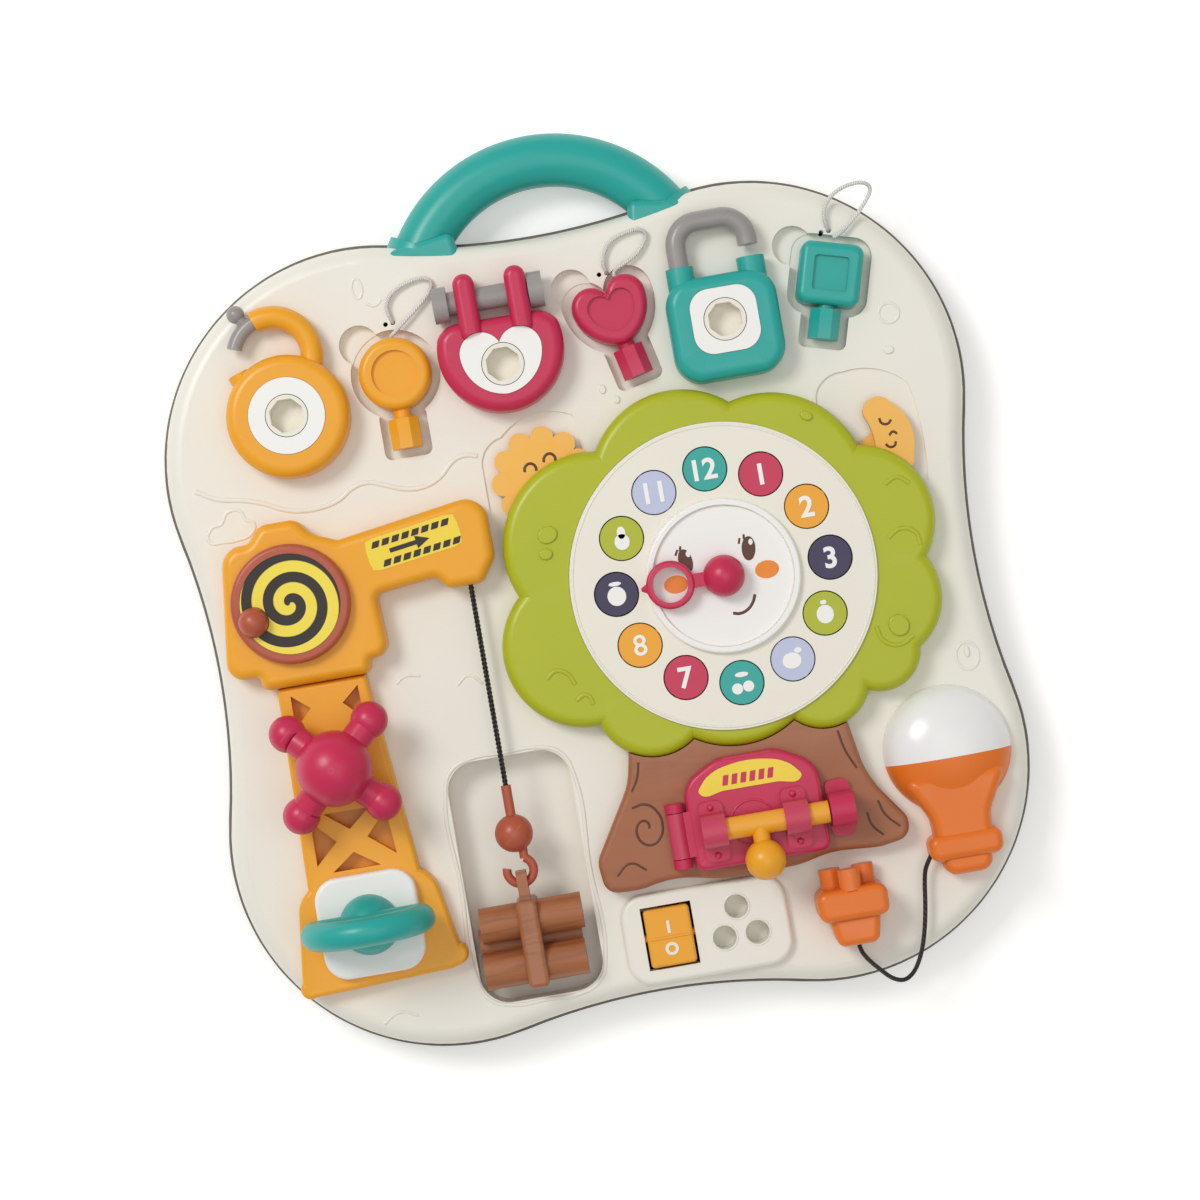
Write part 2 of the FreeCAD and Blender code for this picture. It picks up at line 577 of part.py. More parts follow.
def make_round_lock():
    body = pad("round_lock_disc", [circle(s.round_lock_x, s.round_lock_y, s.round_lock_radius)],
               "face_level", "lock_height", "lock_softness")
    recess = solid("Cylinder", "round_plate_seat",
                   ("round_lock_x", "round_lock_y", "face_level + lock_height - plate_recess"),
                   Radius="round_plate_radius", Height=8)
    solids = fuse("round_lock_solid", body,
                  hasp_arc("hasp", "hasp_tube", HASP_START, HASP_END - HASP_START),
                  hasp_arc("catch", "hasp_tube", CATCH_START, CATCH_END - CATCH_START))
    keep("round_lock_body", cut("round_lock_case", solids, recess,
                                core_bore("round_core_bore", "round_lock_x", "round_lock_y"),
                                hasp_arc("hasp_bore", "rod_radius + shaft_gap", ROD_START - 4,
                                         HASP_END + 6 - ROD_START + 4),
                                hasp_arc("catch_bore", "rod_radius + run_gap", CATCH_START - 6, 16)))
    ball = polar((s.hasp_x, s.hasp_y), s.hasp_bend + s.rod_radius + s.rod_ball_radius, ROD_KNOB)
    root = polar((s.hasp_x, s.hasp_y), s.hasp_bend, ROD_KNOB)
    stem = solid("Cylinder", "rod_stem", (*root, "hasp_level"), 90, V(-math.sin(math.radians(ROD_KNOB)),
                                                                      math.cos(math.radians(ROD_KNOB)), 0),
                 Radius="rod_radius * 0.7", Height="rod_radius + rod_ball_radius")
    keep("round_lock_bolt", fuse("rod", hasp_arc("rod_arc", "rod_radius", ROD_START, ROD_TIP - ROD_START), stem,
                                 solid("Sphere", "rod_ball", (*ball, "hasp_level"), Radius="rod_ball_radius")))
    make_core("round_lock_core", "round_lock_x", "round_lock_y")


def heart_plate(grow=0.0):
    return heart(s.heart_lock_x, 104.0, 17.0 + grow, 13.6 + grow, 12.4 + 1.4 * grow)


def make_heart_lock():
    x = s.heart_lock_x
    body = pad("heart_lock_blank", [loop((x - 15, 122.8), (x + 15, 122.8), (x + 20.6, 121.4, x + 24.2, 117.6),
                                         (x, 85, x - 24.2, 117.6), (x - 20.6, 121.4, x - 15, 122.8))],
               "face_level", "lock_height", "lock_softness")
    pieces = [body]
    bores = []
    for number, side in enumerate((-1, 1)):
        middle = x + side * s.heart_post_gap / 2
        half = s.heart_post_width / 2
        pieces.append(pad("heart_post_%d" % number,
                          [rounded(middle - half, 114, middle + half, s.heart_post_top, half - 0.1)],
                          "face_level", "lock_height + 2.5", 3.2))
    bores.append(solid("Cylinder", "heart_bar_bore", ("heart_lock_x - 30", "heart_bar_y", "heart_bar_level"),
                       90, V(0, 1, 0), Radius="heart_bar_radius + run_gap", Height=60))
    bores.append(pad("heart_plate_seat", [heart_plate()], "face_level + lock_height - plate_recess", 8))
    bores.append(core_bore("heart_core_bore", "heart_lock_x", 103.7))
    keep("heart_lock_body", cut("heart_lock_case", fuse("heart_lock_solid", *pieces), *bores))
    reach = "heart_post_gap / 2 + heart_post_width / 2 + run_gap"
    left = "heart_lock_x - (%s) - heart_bar_travel - heart_disc_thickness" % reach
    bar = solid("Cylinder", "heart_bar", (left, "heart_bar_y", "heart_bar_level"), 90, V(0, 1, 0),
                Radius="heart_bar_radius",
                Height="2 * (%s) + heart_bar_travel + 2 * heart_disc_thickness" % reach)
    ends = [solid("Cylinder", "heart_bar_end_%d" % number, (start, "heart_bar_y", "heart_bar_level"), 90,
                  V(0, 1, 0), Radius="heart_disc_radius", Height="heart_disc_thickness")
            for number, start in enumerate((left, "heart_lock_x + " + reach))]
    keep("heart_lock_bolt", fuse("heart_bolt", bar, *ends))
    make_core("heart_lock_core", "heart_lock_x", 103.7)


def make_square_lock():
    x = s.square_lock_x
    half = s.square_lock_half
    body = pad("square_lock_blank", [rounded(x - half, 83, x + half, 124.5, 11.0)],
               "face_level", "lock_height", "lock_softness")
    pieces = [body]
    bores = [pad("square_plate_seat", [rounded(x - 13.45, 92.9, x + 13.45, 119.1, 8.0)],
                 "face_level + lock_height - plate_recess", 8),
             core_bore("square_core_bore", "square_lock_x", 106.1)]
    for number, (side, deep) in enumerate(((-1, 102.5), (1, 117.0))):
        across = "square_lock_x + %d * shackle_half" % side
        pieces.append(solid("Cylinder", "shackle_boss_%d" % number, (across, 129.5, "shackle_level"), 90,
                            V(1, 0, 0), Radius="shackle_radius + 1.6", Height=18))
        bores.append(solid("Cylinder", "shackle_bore_%d" % number, (across, 131, "shackle_level"), 90,
                           V(1, 0, 0), Radius="shackle_radius + shaft_gap", Height=131 - deep))
    keep("square_lock_body", cut("square_lock_case", fuse("square_lock_solid", *pieces), *bores))
    low = "shackle_top - shackle_corner"
    rods = [solid("Cylinder", "shackle_long_leg", ("square_lock_x - shackle_half", low, "shackle_level"), 90,
                  V(1, 0, 0), Radius="shackle_radius", Height=low + " - 112"),
            solid("Cylinder", "shackle_short_leg", ("square_lock_x + shackle_half", low, "shackle_level"), 90,
                  V(1, 0, 0), Radius="shackle_radius", Height=low + " - shackle_tip"),
            solid("Cylinder", "shackle_bridge",
                  ("square_lock_x - shackle_half + shackle_corner", "shackle_top", "shackle_level"), 90,
                  V(0, 1, 0), Radius="shackle_radius", Height="2 * (shackle_half - shackle_corner)")]
    for number, (side, start) in enumerate(((-1, 90), (1, 0))):
        rods.append(solid("Torus", "shackle_corner_%d" % number,
                          ("square_lock_x + %d * (shackle_half - shackle_corner)" % side, low, "shackle_level"),
                          start, Radius1="shackle_corner", Radius2="shackle_radius", Angle3=90))
    keep("square_lock_shackle", fuse("shackle", *rods))
    make_core("square_lock_core", "square_lock_x", 106.1)


def make_lock_plates():
    x = s.square_lock_x
    outlines = {"round": circle(s.round_lock_x, s.round_lock_y, s.round_plate_radius - s.seat_gap),
                "heart": heart_plate(-s.seat_gap),
                "square": rounded(x - 13.3, 93.05, x + 13.3, 118.95, 7.85)}
    centres = {"round": (s.round_lock_x, s.round_lock_y), "heart": (s.heart_lock_x, 103.7), "square": (x, 106.1)}
    plates = [pad(name + "_plate", [edges, circle(*centres[name], s.core_radius + s.run_gap)],
                  "face_level + lock_height - plate_recess", "plate_recess + plate_proud")
              for name, edges in outlines.items()]
    return keep("lock_plates", group("plates", *plates))


# Keys: a bow, a round stem and an eight-sided bit that fits the lock cores

def make_key(node):
    bow, stem, bit = key_outline(node)
    low = "face_level - key_pocket_depth + run_gap"
    bit_low = {"round_key": -30.0, "heart_key": -27.2, "square_key": -26.0}[node]
    level = low + " + key_bit_flat / 2"
    head = pad(node + "_bow", [bow], low, "key_bow_height", 3.0)
    inner = {"round_key": circle(0, 0, 9.2), "heart_key": heart(0, 0, 9.8, 7.8, 8.2),
             "square_key": rounded(-7, -7, 7, 7, 1.5)}[node]
    dish = pad(node + "_dish", [inner], low + " + key_bow_height - 1.6", 5)
    shank = solid("Cylinder", node + "_stem", (0, bit_low + 6, level), -90, V(1, 0, 0),
                  Radius="key_stem_radius", Height=-bit_low - 14)
    foot = make_bit(node, bit_low, level)
    whole = cut(node + "_part", fuse(node + "_solid", head, shank, foot), dish)
    doc.recompute()
    place(whole, (*keys[node]["at"], 0), keys[node]["angle"])
    return keep(node, whole)


def make_bit(node, bit_low, level):
    bit = doc.addObject("Part::Prism", node + "_bit")
    bit.Polygon = 8
    bind(bit, "Circumradius", "key_bit_flat / 2 / cos(22.5 deg)")
    bind(bit, "Height", "key_bit_length")
    flat_down = FreeCAD.Rotation(V(1, 0, 0), -90).multiply(FreeCAD.Rotation(UP, 22.5))
    bit.Placement = FreeCAD.Placement(V(0, bit_low, 0), flat_down)
    bind(bit, "Placement.Base.z", level)
    return bit


# Cords: points chosen by hand, from the hole in the face round the loop to the key

tether_routes = {
    "round_key_cord": [(-60.6, 128.6, 24.0), (-60.6, 128.7, 29.0), (-61.6, 131.6, 30.4), (-62.0, 136.0, 30.2),
                       (-59.0, 140.2, 30.0), (-53.4, 143.0, 30.0), (-46.6, 144.4, 30.0), (-42.2, 142.6, 30.0),
                       (-43.6, 138.0, 30.0), (-49.2, 133.0, 30.4), (-55.5, 128.2, 31.0), (-60.4, 124.4, 31.0),
                       (-62.2, 122.9, 30.8)],
    "heart_key_cord": [(27.0, 133.6, 24.0), (27.0, 133.7, 29.0), (26.2, 136.6, 30.4), (27.2, 141.6, 30.2),
                       (31.0, 146.0, 30.0), (37.4, 148.2, 30.0), (43.6, 148.6, 30.0), (45.6, 145.4, 30.0),
                       (41.6, 139.6, 30.2), (35.6, 136.0, 30.8), (29.6, 133.8, 31.0), (29.9, 131.3, 31.0)],
    "square_key_cord": [(117.4, 135.0, 24.0), (117.4, 135.1, 29.0), (116.2, 138.2, 30.6), (116.6, 143.4, 30.8),
                        (120.4, 148.6, 30.4), (127.6, 151.8, 29.0), (134.6, 152.0, 28.0), (137.6, 148.8, 28.0),
                        (132.4, 142.0, 29.6), (126.0, 136.0, 30.8), (121.4, 132.6, 31.0), (118.4, 131.6, 31.0)],
}
flex_route = [(80.0, -146.68, 36.0), (80.2, -150.0, 36.0), (83.2, -154.8, 35.0), (87.2, -159.4, 33.0),
              (91.0, -163.6, 31.0), (95.6, -165.6, 29.6), (99.6, -163.6, 29.6), (103.0, -158.4, 31.4),
              (106.0, -150.4, 33.2), (108.6, -139.0, 33.6), (110.4, -125.6, 33.6), (112.0, -120.8, 33.8),
              (116.0, -115.6, 33.8)]


# Crane: a hollow head with its arm, the crank wheel with its drum, and the open tower

def make_crane():
    head = track((-135.6, -7.7, 3.4), (-92.4, -7.7, 3.4), (-92.0, -2.1, 2.0), (-83.6, -2.1, 6),
                 (-85.0, 22.6, 3), (-60.4, 25.2, 3), (-56.0, 19.9, 4.2), (-42.6, 19.9, 4.2),
                 (-36.3, 29.4, 6), (-36.3, 55.2, 9), (-96.4, 46.4, 4), (-106.2, 50.5, 8),
                 (-111.8, 57.4, 6), (-126.2, 57.4, 6), (-131.8, 50.7, 4), (-142.4, 50.7, 8.6),
                 (-149.2, -2.1, 7), (-135.9, -2.1, 1.8))
    block = pad("crane_block", [head], "face_level", "crane_height", "crane_softness")
    hollow = pad("crane_hollow", [grown(head, -s.crane_wall)], "face_level - 1",
                 "crane_height - crane_wall + 1")
    guide = solid("Cylinder", "string_guide", ("string_x - string_radius - 4", "string_exit_y + 1", "face_level"),
                  Radius=4, Height="crane_height - 1")
    keep("crane_head", cut("crane_case", fuse("crane_solid", cut("crane_skin", block, hollow), guide),
                           solid("Cylinder", "crank_bore", ("crank_x", "crank_y", "face_level + 5"),
                                 Radius="crank_shaft_radius + shaft_gap", Height=20),
                           solid("Cylinder", "string_eye", ("string_x", "string_exit_y", "string_level"), 90,
                                 V(1, 0, 0), Radius="string_radius + run_gap", Height=15)))
    floor = "face_level + crane_height + run_gap"
    rim = pad("wheel_rim", [circle(s.crank_x, s.crank_y, s.wheel_radius)], floor, "wheel_thickness", 1.8)
    seat = solid("Cylinder", "spiral_seat", ("crank_x", "crank_y", floor + " + wheel_thickness - spiral_thickness"),
                 Radius="spiral_radius", Height=5)
    inside = "face_level + 1.2"
    drum = fuse("drum", solid("Cylinder", "drum_core", ("crank_x", "crank_y", inside),
                              Radius="drum_radius", Height="drum_height"),
                solid("Cylinder", "drum_low_flange", ("crank_x", "crank_y", inside),
                      Radius="drum_flange_radius", Height=1.4),
                solid("Cylinder", "drum_high_flange", ("crank_x", "crank_y", inside + " + drum_height - 1.4"),
                      Radius="drum_flange_radius", Height=1.4))
    shaft = solid("Cylinder", "crank_shaft", ("crank_x", "crank_y", inside), Radius="crank_shaft_radius",
                  Height="run_gap + crane_height + wheel_thickness - spiral_thickness - 1.2")
    knob_at = polar((s.crank_x, s.crank_y), s.crank_knob_offset, 197.5)
    post = solid("Cylinder", "crank_knob_post", (*knob_at, floor + " + 1"), Radius="crank_knob_radius * 0.8",
                 Height="crank_knob_height - crank_knob_radius")
    cap = solid("Sphere", "crank_knob_cap", (*knob_at, floor + " + crank_knob_height - crank_knob_radius"),
                Radius="crank_knob_radius")
    keep("crank_wheel", fuse("crank_wheel_part", cut("wheel", rim, seat), drum, shaft, post, cap))
    disc = solid("Cylinder", "spiral_blank", ("crank_x", "crank_y", floor + " + wheel_thickness - spiral_thickness"),
                 Radius="spiral_radius - seat_gap", Height="spiral_thickness")
    hole = solid("Cylinder", "spiral_knob_hole", (*knob_at, floor), Radius="crank_knob_radius + seat_gap",
                 Height=20)
    keep("spiral_disc", cut("spiral", disc, hole))
    keep("lifting_string", solid("Cylinder", "string_run", ("string_x", "string_exit_y", "string_level"), 90,
                                 V(1, 0, 0), Radius="string_radius", Height="string_exit_y + 61"))


def make_tower():
    outline = loop((-130.5, -8), (-94.8, -8), (-86.9, -88), (-82.5, -92, -80.6, -97), (-76.4, -119.6),
                   (-73.6, -124, -77, -128), (-81, -129), (-136, -131.4), (-141, -130, -140.6, -125),
                   (-137.2, -97), (-135.4, -92.6, -132, -89))
    block = pad("tower_block", [outline], "face_level", "tower_height", "tower_softness")
    windows = [[(-125.6, -11.5), (-118.4, -17.5), (-125.8, -25)], [(-98.6, -11.5), (-105.6, -17.5), (-98, -25)],
               [(-126.4, -62), (-117.4, -71.5), (-126.6, -80)], [(-96, -62), (-105, -71.5), (-94.6, -80)],
               [(-120.8, -83.4), (-111.4, -76.6), (-101.6, -83.4)], [(-120.8, -60), (-111.4, -67.4), (-102.4, -60)]]
    cuts = [pad("tower_window_%d" % number, [loop(*corners)], "face_level - 1", 20)
            for number, corners in enumerate(windows)]
    boss = solid("Cylinder", "cross_boss", ("cross_x", "cross_y", "face_level"), Radius=10,
                 Height="tower_height + 2")
    cuts.append(solid("Cylinder", "cross_bore", ("cross_x", "cross_y", "face_level + 1"),
                      Radius="cross_shaft_radius + shaft_gap", Height=20))
    cuts.append(solid("Cylinder", "ring_bore", ("ring_x", "ring_y", "face_level + 1"),
                      Radius="cross_shaft_radius + shaft_gap", Height=20))
    keep("crane_tower", cut("tower", fuse("tower_solid", block, boss), *cuts))


# Load: ferrule, bead and open hook on the string's end, and the bundle of logs that hangs on it

HOOK_BEND = 5.3
HOOK_Y = -95.2


def make_load():
    ferrule = solid("Cylinder", "ferrule", ("string_x", -61, "load_level"), 90, V(1, 0, 0),
                    Radius="ferrule_radius", Height="-61 - bead_y")
    bead = solid("Sphere", "bead", ("string_x", "bead_y", "load_level"), Radius="bead_radius")
    hook = solid("Torus", "hook", ("string_x", HOOK_Y, "load_level"), 165, Radius1=HOOK_BEND,
                 Radius2="hook_wire", Angle3=260)
    neck = solid("Cylinder", "hook_neck", ("string_x + 2.4", "bead_y", "load_level"), 90, V(1, 0, 0),
                 Radius="hook_wire", Height="bead_y + %s" % (-HOOK_Y - HOOK_BEND * 0.86))
    keep("hoist_hook", fuse("hoist", ferrule, bead, hook, neck))
    base = "face_level - load_pocket_depth + run_gap + log_radius"
    half = "2 * log_half_length"
    logs = [solid("Cylinder", "log_%d" % number, ("string_x - log_half_length + %s" % repr(shift), y, level), 90,
                  V(0, 1, 0), Radius="log_radius", Height=half)
            for number, (shift, y, level) in enumerate(((1.0, -115.0, base + " + 10.4"), (-0.9, -124.4, base),
                                                        (-0.3, -133.4, base + " + 10.4")))]
    strap = pad("strap", [rounded(s.string_x - s.strap_half_width, -141.8, s.string_x + s.strap_half_width,
                                  -106.8, 2.0)], base + " - 2", "log_radius + 15.0", 1.8)
    tab = solid("Box", "strap_tab", ("string_x - 2.1", -108, "load_level - 4.4"), Length=4.2, Width=12.6,
                Height=8.8)
    eye = solid("Cylinder", "strap_eye", ("string_x - 5", HOOK_Y - HOOK_BEND + 0.2, "load_level"), 90, V(0, 1, 0),
                Radius="hook_wire + run_gap + 0.3", Height=10)
    keep("log_bundle", cut("bundle", fuse("bundle_solid", *logs, strap, tab), eye))


# Knobs: a four-armed spinner, and a ring handle on a white base

def make_cross_knob():
    pieces = [solid("Sphere", "cross_ball", ("cross_x", "cross_y", "cross_level"), Radius="cross_ball"),
              solid("Cylinder", "cross_shaft", ("cross_x", "cross_y", "face_level + 1.5"),
                    Radius="cross_shaft_radius", Height="cross_level - face_level - 1.5"),
              solid("Cylinder", "cross_foot", ("cross_x", "cross_y", "face_level + tower_height + 2 + run_gap"),
                    Radius="cross_shaft_radius + 2.5", Height="cross_level - face_level - tower_height - 10")]
    for number in range(4):
        degrees = 45 + 90 * number
        tip = polar((s.cross_x, s.cross_y), s.cross_arm, degrees)
        ahead = V(tip[0] - s.cross_x, tip[1] - s.cross_y, -s.cross_drop)
        arm = doc.addObject("Part::Cylinder", "cross_arm_%d" % number)
        bind(arm, "Radius", "cross_arm_radius")
        bind(arm, "Height", "sqrt(cross_arm ^ 2 + cross_drop ^ 2)")
        arm.Placement = FreeCAD.Placement(V(s.cross_x, s.cross_y, s.cross_level), FreeCAD.Rotation(UP, ahead))
        pieces.append(arm)
        pieces.append(solid("Sphere", "cross_tip_%d" % number, (*tip, "cross_level - cross_drop"),
                            Radius="cross_tip"))
    return keep("cross_knob", fuse("cross", *pieces))


def make_ring_knob():
    x, y, half = s.ring_x, s.ring_y, s.ring_base_half
    plate = pad("ring_plate", [rounded(x - half, y - half, x + half, y + half, 9.5),
                               circle(x, y, s.cross_shaft_radius + s.shaft_gap)],
                "face_level + tower_height", "ring_base_height", 1.8)
    keep("ring_knob_base", plate)
    floor = "face_level + tower_height + ring_base_height + run_gap"
    level = floor + " + ring_hub_height + 2"
    hub = solid("Sphere", "ring_hub", ("ring_x", "ring_y", floor), Radius="ring_hub_radius", Angle1=0)
    shaft = solid("Cylinder", "ring_shaft", ("ring_x", "ring_y", "face_level + 1.5"),
                  Radius="cross_shaft_radius", Height="tower_height + ring_base_height + ring_hub_height")
    arch = doc.addObject("Part::Torus", "ring_arch")
    bind(arch, "Radius1", "ring_bend")
    bind(arch, "Radius2", "ring_tube")
    arch.Angle3 = 180
    arch.Placement = FreeCAD.Placement(V(x, y, 0), FreeCAD.Rotation(V(1, 0, 0), 90))
    bind(arch, "Placement.Base.z", level)
    bar = solid("Cylinder", "ring_bar", ("ring_x - ring_bend", "ring_y", level), 90, V(0, 1, 0),
                Radius="ring_tube", Height="2 * ring_bend")
    ends = [solid("Sphere", "ring_end_%d" % number, ("ring_x + %d * ring_bend" % side, "ring_y", level),
                  Radius="ring_tube") for number, side in enumerate((-1, 1))]
    return keep("ring_knob", fuse("ring", hub, shaft, arch, bar, *ends))


# Tree crown, dial with its twelve turning discs, face plate, pointer and the rocking sun and moon

CENTRE = (s.dial_x, s.dial_y)
SUN_TURN, SUN_REACH = 141.5, 81.6
MOON_TURN, MOON_REACH = 30.5, 87.0


def wedge(first, last, reach=100.0):
    return loop(CENTRE, polar(CENTRE, reach, first), polar(CENTRE, reach, last))


def make_crown():
    outline = crown_outline()
    block = pad("crown_block", [outline], "face_level", "crown_height", "crown_softness")
    hollow = pad("crown_hollow", [grown(outline, -s.crown_wall)], "face_level - 1",
                 "crown_height - crown_roof + 1")
    ledge = "face_level + crown_height + dial_proud - dial_thickness"
    cuts = [hollow,
            solid("Cylinder", "crown_eye", ("dial_x", "dial_y", "face_level"), Radius="dial_radius - dial_ledge",
                  Height=30),
            solid("Cylinder", "dial_seat", ("dial_x", "dial_y", ledge), Radius="dial_radius + seat_gap", Height=30),
            pad("sun_slot", [wedge(121.0, 170.0)], "face_level - 1", "crown_height - crown_roof + 1"),
            pad("moon_slot", [wedge(13.0, 52.0)], "face_level - 1", "crown_height - crown_roof + 1")]
    return keep("tree_crown", cut("crown", block, *cuts))


def make_dial():
    floor = "face_level + crown_height + dial_proud - dial_thickness"
    middle = floor + " + dial_thickness / 2"
    plate = solid("Cylinder", "dial_plate", ("dial_x", "dial_y", floor), Radius="dial_radius",
                  Height="dial_thickness")
    boss = solid("Cylinder", "dial_boss_post", ("dial_x", "dial_y", "face_level"), Radius="dial_boss",
                 Height="crown_height")
    cuts = [solid("Cylinder", "pointer_bore", ("dial_x", "dial_y", "face_level + 1"),
                  Radius="pointer_shaft + shaft_gap", Height=30)]
    for number in range(12):
        degrees = 90 - 30 * (number + 1)
        x, y = polar(CENTRE, s.disc_circle, degrees)
        cuts.append(solid("Cylinder", "disc_hole_%02d" % (number + 1), (x, y, floor), Radius="disc_hole", Height=10))
        start = polar(CENTRE, s.disc_circle - s.disc_pin_reach - 0.3, degrees)
        across = V(-math.sin(math.radians(degrees)), math.cos(math.radians(degrees)), 0)
        bore = solid("Cylinder", "disc_pin_bore_%02d" % (number + 1), (*start, middle), 90, across,
                     Radius="disc_pin + shaft_gap", Height="2 * disc_pin_reach + 0.6")
        cuts.append(bore)
        ball = solid("Sphere", "disc_ball_%02d" % (number + 1), (x, y, middle), Radius="disc_ball")
        slab = solid("Cylinder", "disc_slab_%02d" % (number + 1), (x, y, middle + " - disc_thickness / 2"),
                     Radius="disc_hole", Height="disc_thickness")
        pin_start = polar(CENTRE, s.disc_circle - s.disc_pin_reach, degrees)
        pin = solid("Cylinder", "disc_pin_%02d" % (number + 1), (*pin_start, middle), 90, across,
                    Radius="disc_pin", Height="2 * disc_pin_reach")
        disc = common("disc_%02d" % (number + 1), ball, slab)
        keep("number_disc_%02d" % (number + 1), fuse("disc_part_%02d" % (number + 1), disc, pin))
    keep("dial_ring", cut("dial", fuse("dial_solid", plate, boss), *cuts))
    top = floor + " + dial_thickness"
    face = cut("face", pad("face_disc", [circle(*CENTRE, s.face_radius)], top, "face_thickness", 1.0),
               solid("Cylinder", "face_dish", (*CENTRE, top + " + face_thickness - face_hollow"),
                     Radius="face_radius - face_rim", Height=10),
               solid("Cylinder", "face_bore", (*CENTRE, top + " - 1"), Radius="pointer_shaft + run_gap", Height=10))
    keep("face_plate", face)
    level = top + " + face_thickness + run_gap"
    ball = solid("Sphere", "pointer_ball_top", (*CENTRE, level + " + 2.4"), Radius="pointer_ball", Angle1=-20)
    ring_x = s.dial_x - s.pointer_reach
    ring = pad("pointer_ring_pad", [circle(ring_x, s.dial_y, s.pointer_ring),
                                    circle(ring_x, s.dial_y, s.pointer_ring_hole)],
               level, "pointer_height", 1.2)
    neck = solid("Box", "pointer_neck", ("dial_x - pointer_reach + pointer_ring - 1", "dial_y - 2.8", level),
                 Length="pointer_reach - pointer_ring - 3", Width=5.6, Height="pointer_height - 0.8")
    tip = solid("Cone", "pointer_tip", ("dial_x - pointer_reach - pointer_ring + 0.6", "dial_y", level + " + 2.4"),
                -90, V(0, 1, 0), Radius1=2.2, Radius2=0.6, Height=2.6)
    shaft = solid("Cylinder", "pointer_shaft_rod", (*CENTRE, "face_level + 1.5"), Radius="pointer_shaft",
                  Height="crown_height + dial_proud + face_thickness")
    keep("pointer", fuse("pointer_part", ball, ring, neck, tip, shaft))


def make_sun_moon():
    low = "face_level + run_gap"
    hub = solid("Cylinder", "rocker_hub_disc", (*CENTRE, low), Radius="rocker_hub", Height="rocker_arm")
    pieces = [hub]
    for name, degrees, reach in (("sun", SUN_TURN, SUN_REACH), ("moon", MOON_TURN, MOON_REACH)):
        body = pad(name + "_arm", [rounded(0, -5.0, reach, 5.0, 0.5)], low, "rocker_arm", None, CENTRE, degrees)
        pieces.append(body)
    sun = polar(CENTRE, SUN_REACH, SUN_TURN)
    rays = 11
    steps = []
    for number in range(rays):
        middle = 360 / rays * (number + 0.5)
        steps.append((*polar(sun, 20.6, middle), *polar(sun, 16.6, 360 / rays * (number + 1))))
    pieces.append(pad("sun_plate", [loop(polar(sun, 16.6, 0), *steps)], low, "rocker_plate"))
    pieces.append(pad("sun_face", [circle(*sun, 13.6)], low, "rocker_plate + 0.4"))
    moon = polar(CENTRE, MOON_REACH, MOON_TURN)
    x, y = moon
    pieces.append(pad("moon_plate", [loop((x - 8.6, y + 9), (x - 4, y + 15.6, x + 2.5, y + 13),
                                          (x + 8.8, y + 4, x + 8.4, y - 9), (x + 1, y - 17.5, x - 7.6, y - 11),
                                          (x - 6, y - 1, x - 8.6, y + 9))], low, "rocker_plate"))
    bore = solid("Cylinder", "rocker_bore", (*CENTRE, "face_level"), Radius="dial_boss + run_gap", Height=30)
    return keep("sun_moon_rocker", cut("sun_moon", fuse("sun_moon_solid", *pieces), bore))


# Trunk with its niche, and the door on a hinge pin with a bolt across it

NICHE_LEFT, NICHE_RIGHT, NICHE_LOW, NICHE_HIGH = 25.0, 72.0, -104.0, -69.0
KEEPER_LEFT, KEEPER_RIGHT = 77.0, 86.6
HINGE_LOW, HINGE_HIGH = -101.2, -83.2


